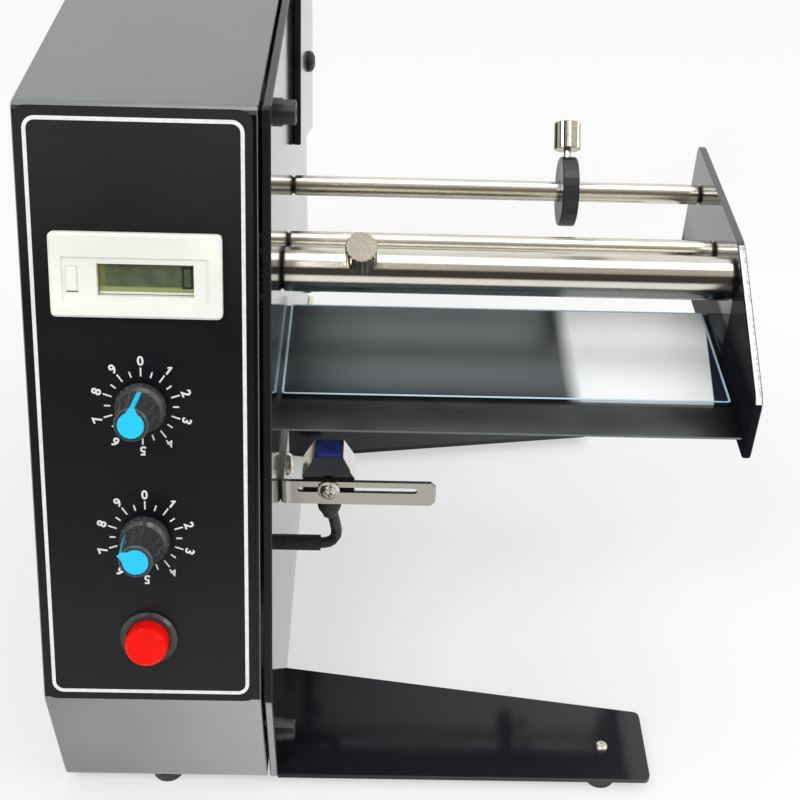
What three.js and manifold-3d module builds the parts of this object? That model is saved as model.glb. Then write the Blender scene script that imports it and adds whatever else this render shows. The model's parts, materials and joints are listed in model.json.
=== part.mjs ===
// Desktop label dispenser: a tall control housing, a side plate that carries guide rods, a label
// platform with a mirror sheet, a photo sensor, a roll holder and a motor-driven take-up roller.
// Millimetres. X runs from the housing towards the outer plate, Y from front to back, Z up.
// Inside this file X = 0 is the right face of the main plate, Y = 0 the top front edge of the
// housing and Z = 0 the table. The finished group is moved to stand on its own centre.

import * as THREE from 'three';
import { mergeVertices } from 'three/addons/utils/BufferGeometryUtils.js';
import Module from 'manifold-3d';

const wasm = await Module();
wasm.setup();

// Shared fits
const clearance = 0.3;
const overrun = 2;
const edgeBevel = 0.35;
const mergeTolerance = 0.0005;
const holeSteps = 12;
const smallCircleSteps = 12;
const circleSteps = 20;
const wideCircleSteps = 28;
const cornerSteps = 3;
const headSteps = 8;
const toolSides = 4;

// Housing and plates
const housingHeight = 220;
const housingWidth = 67;
const housingRear = 160;
const housingWall = 1.5;
const housingEdgeRadius = 2;
const standHeight = 4;
const panelTiltDegrees = 20;
const foldHeight = 50;
const kickBack = 6.7;
const plateThickness = 2.5;
const plateGap = 1;
const plateCornerRadius = 1.5;
const plateSpacing = 142;

// Control panel, measured down its slope from the top edge of the housing
const overlayThickness = 0.4;
const overlaySide = 1;
const overlayEnd = 0.6;
const overlayCorner = 4;
const panelOffset = 0.4;
const counterWidth = 48;
const counterHeight = 24;
const counterProud = 4.4;
const counterCorner = 1.6;
const counterBevel = 0.7;
const counterShare = 0.257;
const counterRecessWidth = 41;
const counterRecessHeight = 12.8;
const counterRecessDepth = 0.5;
const counterRecessDown = 1.2;
const counterCaseWidth = 44.8;
const counterCaseHeight = 22.2;
const counterCaseDepth = 34;
const windowWidth = 27;
const windowHeight = 9.2;
const windowRight = 2.7;
const windowSunk = 2.2;
const windowThickness = 1.2;
const resetWidth = 2.7;
const resetHeight = 6.4;
const resetSlotHeight = 7.4;
const resetLeft = 17.7;
const resetProud = 0.7;
const resetDepth = 3.2;
const lengthDialShare = 0.4715;
const speedDialShare = 0.6976;
const knobHeight = 17;
const knobSkirtRadius = 7.3;
const knobSkirtHeight = 1.6;
const knobConeHeight = 3.4;
const knobBodyRadius = 5.7;
const knobFaceRadius = 4.7;
const knobFlutes = 14;
const knobFluteRadius = 0.35;
const knobRise = 0.6;
const pointerFaceRadius = 3.75;
const pointerWidth = 1.3;
const pointerSunk = 0.8;
const pointerProud = 0.35;
const neckWidthShare = 0.7;
const neckStartShare = 0.5;
const potShaftRadius = 3;
const potThreadRadius = 3.5;
const potBodyRadius = 8.2;
const potBodyDepth = 9;
const lengthPointerDegrees = 5;
const speedPointerDegrees = 296;
const switchShare = 0.8794;
const switchRingRadius = 8.8;
const switchRingChamfer = 0.9;
const switchRingProud = 1.4;
const switchBarrelRadius = 7.9;
const switchBarrelWall = 1.1;
const switchBarrelDepth = 24;
const buttonRadius = 6.5;
const buttonFaceRadius = 5.2;
const buttonRound = 0.9;
const buttonProud = 8;
const buttonTravel = 2.5;
const buttonFloor = 7;

// Outer plate, guide rods and front bar; places are distances back (Y) and up (Z)
const outerFront = -23;
const outerRear = 94;
const outerTop = 166.6;
const outerBottom = 119;
const outerNose = 141;
const outerTopFront = 26;
const outerCorner = 3;
const rodRadius = 3.5;
const upperRodBack = 81.7;
const upperRodUp = 153.2;
const middleRodBack = 51.3;
const middleRodUp = 148.45;
const frontBarRadius = 7;
const frontBarBack = 24.8;
const frontBarUp = 154;
const rodChamfer = 0.8;
const rodStudRadius = 2.5;
const rodScrewRadius = 2;
const rodScrewHeadRadius = 3.8;
const rodScrewHeadHeight = 2;
const rodScrewLength = 12;
const socketRadius = 1.5;
const socketDepth = 1.2;

// Width guide and thumbscrews
const collarRadius = 12;
const collarThickness = 5.6;
const collarMiddle = 95.6;
const collarThumbRadius = 4.6;
const collarThumbHeight = 9.5;
const barThumbRadius = 5;
const barThumbHeight = 10.2;
const thumbNeckRadius = 1.3;
const thumbNeckHeight = 2.8;
const thumbStemLength = 6;
const thumbChamfer = 0.5;
const thumbRidges = 20;
const thumbRidgeDepth = 0.25;
const collarThumbLeanDegrees = 40;
const barThumbAlong = 24.8;
const barThumbLeanDegrees = -35;
const barThumbNeck = 0.8;

// Label platform
const platformFront = -20.3;
const platformRear = 47.5;
const platformSheet = 1.5;
const platformTop = 125.4;
const platformLip = 5;
const platformTongue = 16;
const mirrorFront = -4;
const mirrorRear = 46.8;
const mirrorThickness = 1;
const mirrorMargin = 0.8;
const mirrorCorner = 1.2;

// Foot plates and rubber pads
const footReach = 125;
const footThickness = 2;
const footRootDepth = 46.5;
const footTipDepth = 28.5;
const footCorner = 2;
const padScrewHead = 2.2;
const padScrewHeight = 1.5;
const padScrewRadius = 1.2;
const padScrewLength = 3.2;
const padScrewFromEdge = 13.2;
const padScrewFromTip = 15;
const footTongueWidth = 12;
const footTongueInset = 10;
const padRadius = 5.6;
const padTaper = 0.5;
const padFromEdge = 5.8;
const padFromTip = 16;
const padPinRadius = 1.6;
const housingPinLength = 2.6;
const footPinLength = 1.2;
const footPinHoleDepth = 1.5;

// Black cap screws that hold the main plate to the housing
const capHeadRadius = 3.6;
const capHeadHeight = 3.8;
const capWasherRadius = 4.1;
const capWasherHeight = 1.7;
const capShankRadius = 2;
const capShankLength = 12;
const capSocketRadius = 1.7;
const capSocketDepth = 2.2;
const capTopBack = 20;
const capTopDown = 10.5;
const capFromBase = 9.2;
const capBottomUp = 17.4;
const capTopRearBack = 150;
const capTopRearDown = 150;
const capBottomRearBack = 146;
const bossRadius = 4.6;
const bossLength = 14;

// Sensor on its slotted bracket
const bracketFront = -12;
const bracketSheet = 1.2;
const bracketReach = 50;
const bracketHeight = 9.3;
const bracketTop = 97.5;
const bracketBend = 2;
const bracketCorner = 1.6;
const bracketLegDepth = 26;
const bracketScrewFromFront = 14;
const slotStart = 5.6;
const slotEnd = 44;
const slotHalf = 1.1;
const slotRoundShare = 0.95;
const slotDown = 3.3;
const sensorAlong = 15.6;
const sensorBaseWidth = 17;
const sensorTopWidth = 9.2;
const sensorHeight = 14.5;
const sensorDepth = 11;
const sensorShoulder = 3;
const sensorBase = 3.4;
const sensorWindowWidth = 8;
const sensorWindowDepth = 7.4;
const sensorWindowProud = 0.5;
const sensorWindowSunk = 0.8;
const sensorScrewHead = 2.6;
const sensorScrewHeight = 1.8;
const sensorScrewRadius = 0.9;
const sensorScrewLength = 5;
const washerRadius = 3.7;
const washerThickness = 0.5;
const panHeadRadius = 3.9;
const panHeadHeight = 2.4;
const panShankRadius = 1.9;
const panShankLength = 5;
const panRimShare = 0.33;
const panShoulderShare = 0.86;
const panRiseShare = 0.7;
const crossWidth = 0.8;
const crossDepth = 0.9;

// Sensor cable and its sleeve in the main plate
const cableRadius = 1.9;
const cableSides = 8;
const cableSteps = 46;
const cableMiddleShare = 0.6;
const cableEndShare = 0.94;
const sleeveRadius = 2.8;
const sleeveWall = 0.5;
const sleeveReach = 12.2;
const sleeveInside = 6;
const sleeveUp = 58;
const sleeveBack = 2;
const cableInside = 36;
const cableBend = 4.7;
const cableLead = 0.7;
const cableBendSteps = 5;

// Label roll holder
const armFrontBack = 85;
const armFrontDown = 53;
const armToeBack = 161;
const armToeDown = 83;
const armHeelBack = 170;
const armHeelDown = 43;
const armThickness = 2.5;
const armHeadRadius = 22;
const rollBack = 145;
const rollAbove = 66;
const armScrewBack = 138;
const armScrewGap = 30;
const armScrewDown = 45;
const spindleRadius = 5;
const spindleEnd = 152;
const spindleStudRadius = 3;
const spindleCapRadius = 6.5;
const spindleCapHeight = 3;
const discRadius = 46;
const discThickness = 3;
const discHubRadius = 12.5;
const discHubLength = 11;
const discRimWidth = 5;
const discPocketDepth = 1.2;
const innerDiscAt = 8;
const outerDiscAt = 118;

// Take-up roller with its wire clip, and the geared drive
const rollerBack = 75;
const rollerUp = 88;
const rollerRadius = 9.8;
const rollerStart = 6;
const rollerEnd = 134;
const rollerFlangeRadius = 20;
const rollerFlangeThickness = 1.6;
const rollerShaftRadius = 4;
const clipWireRadius = 1.35;
const clipHalfWidth = 11.5;
const clipReach = 146;
const clipSides = 8;
const clipSteps = 12;
const bearingRadius = 6.5;
const bearingFlangeRadius = 8.5;
const bearingFlange = 1.2;
const gearModule = 1;
const toothDepthShare = 1.25;
const toothRootShare = 0.36;
const toothTipShare = 0.13;
const rollerTeeth = 32;
const motorTeeth = 16;
const gearWidth = 6;
const gearBacklash = 0.35;
const gearStart = 5;
const gearboxRadius = 18.5;
const gearboxDepth = 22;
const gearboxGap = 2;
const gearboxOffset = 7;
const motorRadius = 15;
const motorWallGap = 7.5;
const motorShaftRadius = 3;
const motorPostRadius = 2.5;
const motorPostCircle = 15.5;

// Electronics, rear cover and mains inlet
const boardWidth = 92;
const boardTopGap = 9;
const boardThickness = 1.6;
const boardStandoff = 6;
const boardBack = 44;
const boardUp = 141;
const boardPostShares = [0.06, 0.94];
const chipShares = [0.12, 0.62, 0.24, 0.13];
const chipHeight = 3;
const relayShares = [0.5, 0.6, 0.17, 0.19];
const relayHeight = 11;
const terminalShares = [0.76, 0.2, 0.13, 0.37];
const terminalHeight = 8;
const largeCanShares = [0.3, 0.3];
const largeCanRadius = 6;
const largeCanHeight = 16;
const smallCanShares = [0.5, 0.28];
const smallCanRadius = 4;
const smallCanHeight = 11;
const supplyLength = 46;
const supplyHeight = 38;
const supplyDepth = 40;
const supplyCoreShare = 0.62;
const supplyCoilShare = 0.72;
const supplyCoilRiseShare = 0.18;
const supplyCoilLeadShare = 0.19;
const supplyBack = 92;
const coverInset = 0.8;
const coverScrewInset = 7;
const coverScrewRadius = 2.6;
const coverScrewCrown = 1.3;
const coverScrewRim = 0.8;
const coverScrewHeight = 1.6;
const inletWidth = 27.4;
const inletHeight = 31;
const inletFlange = 4;
const inletProud = 2.4;
const inletDepth = 24;
const inletUp = 34;
const inletSocketWidth = 22;
const inletSocketHeight = 14.5;
const inletSocketDepth = 15;
const inletPinWidth = 2;
const inletPinHeight = 4;
const inletPinGap = 7;
const inletPinLength = 12;
const fuseCapRadius = 5;
const ventCount = 6;
const ventLength = 34;
const ventHeight = 2.6;
const ventPitch = 6;
const ventTopGap = 40;

// Places worked out from the driving sizes
const panelTilt = THREE.MathUtils.degToRad(panelTiltDegrees);
const foldFront = -(housingHeight - foldHeight) * Math.tan(panelTilt);
const baseFront = foldFront + kickBack;
const panelLength = (housingHeight - foldHeight) / Math.cos(panelTilt);
const housingRight = -plateThickness - plateGap;
const housingLeft = housingRight - housingWidth;
const panelMiddle = housingRight - housingWidth / 2 - panelOffset;
const counterDown = panelLength * counterShare;
const lengthDialDown = panelLength * lengthDialShare;
const speedDialDown = panelLength * speedDialShare;
const switchDown = panelLength * switchShare;
const capBottomBack = baseFront + capFromBase;
const armScrewUp = housingHeight - armScrewDown;
const rollUp = housingHeight + rollAbove;
const boardHeight = housingHeight - boardTopGap - boardUp;
const coverWidth = housingWidth - housingWall - coverInset * 2;
const coverMiddle = housingRight - coverInset - coverWidth / 2;
const mirrorTop = platformTop + mirrorThickness;

const paints = {
  black: { color: 0x15171a, roughness: 0.22, metalness: 0.1 },
  satin: { color: 0x8d918d, roughness: 0.45, metalness: 0.6 },
  sticker: { color: 0x14171c, roughness: 0.45, metalness: 0 },
  ivory: { color: 0xece8d8, roughness: 0.45, metalness: 0 },
  lcd: { color: 0x5c6b58, roughness: 0.2, metalness: 0 },
  darkPlastic: { color: 0x1c1d1f, roughness: 0.4, metalness: 0 },
  blue: { color: 0x2fb4ea, roughness: 0.45, metalness: 0 },
  red: { color: 0xd8190f, roughness: 0.25, metalness: 0 },
  nickel: { color: 0xc9c4b8, roughness: 0.2, metalness: 1 },
  mirror: { color: 0xd7dde6, roughness: 0.04, metalness: 1 },
  steel: { color: 0xb9bcb8, roughness: 0.35, metalness: 1 },
  rubber: { color: 0x202124, roughness: 0.85, metalness: 0 },
  lens: { color: 0x1b2f9a, roughness: 0.1, metalness: 0 },
  brass: { color: 0xb08d4f, roughness: 0.4, metalness: 1 },
  board: { color: 0x1e5b35, roughness: 0.6, metalness: 0 },
  core: { color: 0x5a5f66, roughness: 0.5, metalness: 0.8 },
};

// Geometry helpers

function tidy(geometry) {
  const bare = new THREE.BufferGeometry();
  bare.setAttribute('position', geometry.getAttribute('position').clone());
  if (geometry.index) bare.setIndex(geometry.index.clone());
  const merged = mergeVertices(bare, mergeTolerance);
  const index = merged.index.array;
  const kept = [];
  for (let i = 0; i < index.length; i += 3) {
    const [a, b, c] = [index[i], index[i + 1], index[i + 2]];
    if (a !== b && b !== c && c !== a) kept.push(a, b, c);
  }
  merged.setIndex(kept);
  return merged;
}

function toSolid(geometry) {
  const merged = tidy(geometry);
  return new wasm.Manifold(new wasm.Mesh({
    numProp: 3,
    vertProperties: new Float32Array(merged.getAttribute('position').array),
    triVerts: new Uint32Array(merged.index.array),
  }));
}

function fromSolid(manifold) {
  const mesh = manifold.getMesh();
  const geometry = new THREE.BufferGeometry();
  geometry.setAttribute('position', new THREE.BufferAttribute(new Float32Array(mesh.vertProperties), 3));
  geometry.setIndex(Array.from(mesh.triVerts));
  return geometry;
}

function cut(base, ...tools) {
  return fromSolid(tools.reduce((left, tool) => left.subtract(toSolid(tool)), toSolid(base)));
}

function join(base, ...others) {
  return fromSolid(others.reduce((left, other) => left.add(toSolid(other)), toSolid(base)));
}

// Closed outline through corner points, each corner rounded by its own radius
function outline(points, radius = 0) {
  const shape = new THREE.Shape();
  const radii = points.map((_, i) => (Array.isArray(radius) ? radius[i] : radius));
  points.forEach((point, i) => {
    const corner = new THREE.Vector2(...point);
    const before = new THREE.Vector2(...points[(i + points.length - 1) % points.length]);
    const after = new THREE.Vector2(...points[(i + 1) % points.length]);
    const start = corner.clone().add(before.sub(corner).setLength(radii[i]));
    const end = corner.clone().add(after.sub(corner).setLength(radii[i]));
    if (i === 0) shape.moveTo(start.x, start.y);
    else shape.lineTo(start.x, start.y);
    if (radii[i] > 0) shape.quadraticCurveTo(corner.x, corner.y, end.x, end.y);
  });
  shape.closePath();
  return shape;
}

function rectangle(width, height, radius = 0, x = 0, y = 0) {
  const [w, h] = [width / 2, height / 2];
  return outline([[x - w, y - h], [x + w, y - h], [x + w, y + h], [x - w, y + h]], radius);
}

function circle(radius, x = 0, y = 0) {
  const shape = new THREE.Shape();
  shape.absarc(x, y, radius, 0, Math.PI * 2, false);
  return shape;
}

function punch(shape, ...holes) {
  holes.forEach((hole) => shape.holes.push(hole));
  return shape;
}

// Extrusion of a shape in local XY from one level to another along local Z
function extrude(shape, from, to, bevel = 0, steps = cornerSteps) {
  const geometry = new THREE.ExtrudeGeometry(shape, {
    depth: to - from - bevel * 2,
    curveSegments: steps,
    bevelEnabled: bevel > 0,
    bevelThickness: bevel,
    bevelSize: bevel,
    bevelOffset: -bevel,
    bevelSegments: 1,
  });
  return geometry.translate(0, 0, from + bevel);
}

// The same, for a side outline given as distances back and up, extruded along X
function alongX(shape, from, to, bevel = 0, steps = cornerSteps) {
  const axes = new THREE.Matrix4().makeBasis(
    new THREE.Vector3(0, 1, 0), new THREE.Vector3(0, 0, 1), new THREE.Vector3(1, 0, 0));
  return extrude(shape, from, to, bevel, steps).applyMatrix4(axes);
}

// The same, for an outline given as X and up, extruded along Y
function alongY(shape, from, to, bevel = 0, steps = cornerSteps) {
  return extrude(shape, -to, -from, bevel, steps).rotateX(Math.PI / 2);
}

// A body of revolution about local Z from [radius, height] points that start and end on the axis
function turned(points, steps = circleSteps) {
  const profile = points.map(([r, z]) => new THREE.Vector2(r, z));
  return new THREE.LatheGeometry(profile, steps).rotateX(Math.PI / 2);
}

function cylinder(radius, from, to, chamfer = 0, steps = circleSteps) {
  const points = chamfer > 0
    ? [[0, from], [radius - chamfer, from], [radius, from + chamfer],
      [radius, to - chamfer], [radius - chamfer, to], [0, to]]
    : [[0, from], [radius, from], [radius, to], [0, to]];
  return turned(points, steps);
}

// Turns a part made along local Z so that it runs along X through a point
function layAlongX(geometry, back, up) {
  return geometry.rotateY(Math.PI / 2).translate(0, back, up);
}

function block(x0, x1, y0, y1, z0, z1) {
  return new THREE.BoxGeometry(x1 - x0, y1 - y0, z1 - z0)
    .translate((x0 + x1) / 2, (y0 + y1) / 2, (z0 + z1) / 2);
}

// Moves the edges of a closed outline inwards (positive) by one distance
function inset(points, distance) {
  const area = points.reduce((sum, [x, y], i) => {
    const [nx, ny] = points[(i + 1) % points.length];
    return sum + x * ny - nx * y;
  }, 0);
  const side = Math.sign(area);
  return points.map((point, i) => {
    const here = new THREE.Vector2(...point);
    const before = new THREE.Vector2(...points[(i + points.length - 1) % points.length]);
    const after = new THREE.Vector2(...points[(i + 1) % points.length]);
    const incoming = here.clone().sub(before).normalize();
    const outgoing = after.sub(here).normalize();
    const a = new THREE.Vector2(-incoming.y, incoming.x).multiplyScalar(side);
    const b = new THREE.Vector2(-outgoing.y, outgoing.x).multiplyScalar(side);
    const mitre = a.clone().add(b).multiplyScalar(1 / (1 + a.dot(b)));
    return [here.x + mitre.x * distance, here.y + mitre.y * distance];
  });
}

// The assembly

const machine = new THREE.Group();
const panel = new THREE.Group();
panel.position.set(panelMiddle, 0, housingHeight);
panel.rotation.x = Math.PI / 2 - panelTilt;
machine.add(panel);

function add(name, geometry, paint, parent = machine) {
  const mesh = new THREE.Mesh(tidy(geometry), new THREE.MeshStandardMaterial(paints[paint]));
  mesh.geometry.computeVertexNormals();
  mesh.name = name;
  parent.add(mesh);
  return mesh;
}

// Takes a cutter from panel coordinates (X, up the slope, outwards) to machine coordinates
function throughPanel(geometry) {
  panel.updateMatrix();
  return geometry.applyMatrix4(panel.matrix);
}

const sideProfile = [
  [0, housingHeight], [foldFront, foldHeight], [baseFront, standHeight],
  [housingRear, standHeight], [housingRear, housingHeight],
];

const capPlaces = {
  front_top: [capTopBack, housingHeight - capTopDown],
  front_bottom: [capBottomBack, capBottomUp],
  rear_top: [capTopRearBack, housingHeight - capTopRearDown],
  rear_bottom: [capBottomRearBack, capBottomUp],
};
const armScrewPlaces = { lower: armScrewUp, upper: armScrewUp + armScrewGap };
const rods = {
  upper: { back: upperRodBack, up: upperRodUp, radius: rodRadius },
  middle: { back: middleRodBack, up: middleRodUp, radius: rodRadius },
  front: { back: frontBarBack, up: frontBarUp, radius: frontBarRadius },
};
const feet = {
  front: { edge: baseFront, inward: 1 },
  rear: { edge: housingRear, inward: -1 },
};

function tonguePlaces(foot) {
  const reach = footRootDepth - footTongueInset - footTongueWidth;
  return [footTongueInset, reach].map((offset) => {
    const ends = [foot.edge + foot.inward * offset, foot.edge + foot.inward * (offset + footTongueWidth)];
    return [Math.min(...ends), Math.max(...ends)];
  });
}

function makeMainPlate() {
  const plate = alongX(outline(sideProfile, plateCornerRadius), -plateThickness, 0, edgeBevel);
  const round = (radius, back, up, steps = holeSteps) => layAlongX(cylinder(radius + clearance,
    -plateThickness - overrun, overrun, 0, steps), back, up);
  const notches = Object.values(feet).flatMap((foot) => tonguePlaces(foot).map(([from, to]) => block(
    -plateThickness - overrun, overrun, from - clearance, to + clearance, 0,
    standHeight + footThickness + clearance)));
  return cut(plate, ...notches,
    ...Object.values(capPlaces).map(([back, up]) => round(capShankRadius, back, up)),
    ...Object.values(rods).map(({ back, up }) => round(rodStudRadius, back, up)),
    ...Object.values(armScrewPlaces).map((up) => round(panShankRadius, armScrewBack, up)),
    round(bearingRadius, rollerBack, rollerUp, circleSteps), round(sleeveRadius, sleeveBack, sleeveUp),
    round(panShankRadius, bracketScrewBack, bracketScrewUp));
}

function makeHousingShell() {
  const outer = alongX(outline(sideProfile, housingEdgeRadius), housingLeft, housingRight, edgeBevel);
  const innerProfile = inset(sideProfile, housingWall);
  innerProfile[3][0] = housingRear + overrun;
  innerProfile[4][0] = housingRear + overrun;
  const hollow = alongX(outline(innerProfile), housingLeft + housingWall, housingRight + overrun);
  const bosses = Object.values(capPlaces).flatMap(([y, z]) => {
    const from = housingRight - bossLength;
    const high = z > housingHeight * 2 / 3;
    const wall = high ? housingHeight - housingWall / 2 : standHeight + housingWall / 2;
    const boss = cylinder(bossRadius, from, -plateThickness, 0, holeSteps);
    const web = block(from, housingRight, y - bossRadius / 2, y + bossRadius / 2,
      Math.min(z, wall), Math.max(z, wall));
    return [layAlongX(boss, y, z), web];
  });
  const holes = Object.values(capPlaces).map(([y, z]) => layAlongX(cylinder(capShankRadius + clearance,
    housingRight - bossLength - overrun, housingRight + overrun, 0, holeSteps), y, z));
  const through = [-housingWall - overrun, overrun];
  const counterHole = throughPanel(extrude(rectangle(counterCaseWidth + clearance * 2,
    counterCaseHeight + clearance * 2, 0, 0, -counterDown), ...through));
  const round = (radius, down) => throughPanel(cylinder(radius + clearance, ...through, 0, circleSteps)
    .translate(0, -down, 0));
  const padHoles = [padFront, padRear].map((y) => cylinder(padPinRadius + clearance, 0,
    standHeight + housingWall + overrun, 0, holeSteps).translate(panelMiddle, y, 0));
  const shell = cut(outer, hollow);
  const bossed = join(shell, ...bosses);
  return cut(bossed, ...holes, counterHole, round(potThreadRadius, lengthDialDown),
    round(potThreadRadius, speedDialDown), round(switchBarrelRadius, switchDown), ...padHoles);
}

function makeRearCover() {
  const low = standHeight + housingWall + coverInset;
  const high = housingHeight - housingWall - coverInset;
  const plate = rectangle(coverWidth, high - low, plateCornerRadius, coverMiddle, (low + high) / 2);
  plate.holes.push(rectangle(inletWidth + clearance * 2, inletHeight + clearance * 2, 0,
    coverMiddle, inletUp + inletHeight / 2));
  for (let i = 0; i < ventCount; i += 1) {
    plate.holes.push(rectangle(ventLength, ventHeight, 0, coverMiddle,
      housingHeight - ventTopGap - ventPitch * i));
  }
  const sheet = alongY(plate, housingRear - housingWall, housingRear);
  const across = coverWidth / 2 - coverScrewInset;
  const heads = [[-across, low], [across, low], [-across, high], [across, high]].map(([x, z]) => {
    const lift = z === low ? coverScrewInset : -coverScrewInset;
    return turned([[0, -housingWall / 2], [coverScrewRadius, -housingWall / 2],
      [coverScrewRadius, coverScrewRim], [coverScrewCrown, coverScrewHeight],
      [0, coverScrewHeight]], smallCircleSteps)
      .rotateX(-Math.PI / 2).translate(coverMiddle + x, housingRear, z + lift);
  });
  return join(sheet, ...heads);
}

// Panel pieces, in panel coordinates

function makeOverlay() {
  const width = housingWidth - overlaySide * 2;
  const height = panelLength - overlayEnd * 2;
  const shape = rectangle(width, height, overlayCorner, 0, -panelLength / 2);
  punch(shape,
    rectangle(counterCaseWidth + clearance * 2, counterCaseHeight + clearance * 2, 0, 0, -counterDown),
    circle(potThreadRadius + clearance, 0, -lengthDialDown),
    circle(potThreadRadius + clearance, 0, -speedDialDown),
    circle(switchBarrelRadius + clearance, 0, -switchDown));
  return extrude(shape, clearance, clearance + overlayThickness, 0, headSteps);
}

const overlayTop = clearance + overlayThickness;
const faceBase = overlayTop + clearance;
const recessCentre = -counterDown - counterRecessDown;

function makeCounterCase() {
  const flange = extrude(rectangle(counterWidth, counterHeight, counterCorner, 0, -counterDown),
    faceBase, counterProud, counterBevel);
  const body = extrude(rectangle(counterCaseWidth, counterCaseHeight, 0, 0, -counterDown),
    -counterCaseDepth, faceBase + clearance);
  const recess = extrude(rectangle(counterRecessWidth, counterRecessHeight, 0, 0, recessCentre),
    counterProud - counterRecessDepth, counterProud + overrun);
  const window = extrude(rectangle(windowWidth, windowHeight, 0, windowRight, recessCentre),
    counterProud - counterRecessDepth - windowSunk - windowThickness - clearance, counterProud + overrun);
  const slot = extrude(rectangle(resetWidth + clearance * 2, resetSlotHeight, 0, -resetLeft, recessCentre),
    counterProud - counterRecessDepth - resetDepth - overrun, counterProud + overrun);
  return cut(join(flange, body), recess, window, slot);
}

function makeCounterWindow() {
  const top = counterProud - counterRecessDepth - windowSunk;
  return extrude(rectangle(windowWidth - clearance * 2, windowHeight - clearance * 2, 0,
    windowRight, recessCentre), top - windowThickness, top);
}

function makeResetKey() {
  const top = counterProud - counterRecessDepth + resetProud;
  return extrude(rectangle(resetWidth, resetHeight, 0, -resetLeft,
    recessCentre + (resetSlotHeight - resetHeight) / 2 - clearance), top - resetDepth, top, resetProud / 3);
}

function makePotentiometer(down) {
  const shaftTop = faceBase + knobHeight / 2;
  return turned([
    [0, -housingWall - clearance - potBodyDepth], [potBodyRadius, -housingWall - clearance - potBodyDepth],
    [potBodyRadius, -housingWall - clearance], [potThreadRadius, -housingWall - clearance],
    [potThreadRadius, faceBase], [potShaftRadius, faceBase],
    [potShaftRadius, shaftTop], [0, shaftTop],
  ], smallCircleSteps).translate(0, -down, 0);
}

function makeKnob(down, pointerDegrees) {
  const base = faceBase + knobRise;
  const top = base + knobHeight;
  const cone = base + knobSkirtHeight + knobConeHeight;
  const body = turned([
    [0, base], [knobSkirtRadius, base], [knobSkirtRadius, base + knobSkirtHeight], [knobBodyRadius, cone],
    [knobFaceRadius, top - knobFluteRadius], [knobFaceRadius - knobFluteRadius, top], [0, top],
  ], wideCircleSteps);
  const bore = cylinder(potShaftRadius + clearance, base - overrun, faceBase + knobHeight / 2 + clearance, 0,
    holeSteps);
  const throat = cylinder(potThreadRadius + clearance, base - overrun, base + knobSkirtHeight, 0,
    holeSteps);
  const lean = Math.atan((knobBodyRadius - knobFaceRadius) / (top - cone));
  const flutes = [];
  for (let i = 0; i < knobFlutes; i += 1) {
    const turn = (i + 1 / 2) * Math.PI * 2 / knobFlutes;
    flutes.push(cylinder(knobFluteRadius, 0, knobHeight, 0, toolSides).rotateX(-lean)
      .translate(0, -knobBodyRadius - knobFluteRadius / 4, cone + knobFluteRadius)
      .rotateZ(turn + Math.PI));
  }
  const seat = pointerSolid(base, top, clearance);
  return cut(body, bore, throat, ...flutes, seat)
    .rotateZ(-THREE.MathUtils.degToRad(pointerDegrees)).translate(0, -down, 0);
}

// The teardrop cap with its tail down the side of the knob; grown by a margin it cuts its own seat
function pointerSolid(base, top, margin) {
  const floor = top - pointerSunk - margin;
  const face = extrude(circle(pointerFaceRadius + margin), floor, top + pointerProud, 0, headSteps);
  const neck = extrude(outline([
    [-pointerFaceRadius * neckWidthShare - margin, pointerFaceRadius * neckStartShare],
    [pointerFaceRadius * neckWidthShare + margin, pointerFaceRadius * neckStartShare],
    [pointerWidth / 2 + margin, knobFaceRadius + pointerProud],
    [-pointerWidth / 2 - margin, knobFaceRadius + pointerProud],
  ]), floor, top + pointerProud);
  const tailFoot = base + knobSkirtHeight + knobConeHeight - margin;
  const tail = alongX(outline([
    [knobFaceRadius - pointerSunk - margin, top + pointerProud],
    [knobBodyRadius - pointerSunk - margin, tailFoot],
    [knobBodyRadius + pointerProud, tailFoot],
    [knobFaceRadius + pointerProud, top + pointerProud],
  ]), -pointerWidth / 2 - margin, pointerWidth / 2 + margin);
  return join(face, neck, tail);
}

function makePointer(down, pointerDegrees) {
  const base = faceBase + knobRise;
  return pointerSolid(base, base + knobHeight, 0)
    .rotateZ(-THREE.MathUtils.degToRad(pointerDegrees)).translate(0, -down, 0);
}

function makeSwitchBody() {
  const bore = switchBarrelRadius - switchBarrelWall;
  const floor = -buttonFloor - buttonTravel - clearance;
  return turned([
    [0, -switchBarrelDepth], [switchBarrelRadius, -switchBarrelDepth], [switchBarrelRadius, faceBase],
    [switchRingRadius, faceBase], [switchRingRadius, faceBase + switchRingProud - switchRingChamfer],
    [switchRingRadius - switchRingChamfer, faceBase + switchRingProud], [bore, faceBase + switchRingProud],
    [bore, floor], [0, floor],
  ], circleSteps).translate(0, -switchDown, 0);
}

function makePowerButton() {
  return turned([
    [0, -buttonFloor], [buttonRadius, -buttonFloor], [buttonRadius, buttonProud - buttonRound * 2],
    [buttonRadius - buttonRound / 3, buttonProud - buttonRound],
    [buttonFaceRadius + buttonRound / 3, buttonProud - clearance],
    [buttonFaceRadius, buttonProud], [0, buttonProud],
  ], circleSteps).translate(0, -switchDown, 0);
}

// Rods between the two side plates

function makeRod({ back, up, radius }) {
  const [from, to] = [0, plateSpacing];
  const rod = turned([
    [0, -plateThickness], [rodStudRadius, -plateThickness], [rodStudRadius, from],
    [radius - rodChamfer, from], [radius, from + rodChamfer], [radius, to - rodChamfer],
    [radius - rodChamfer, to], [rodScrewRadius + clearance, to],
    [rodScrewRadius + clearance, to - rodScrewLength], [0, to - rodScrewLength],
  ], circleSteps);
  return layAlongX(rod, back, up);
}

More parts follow.
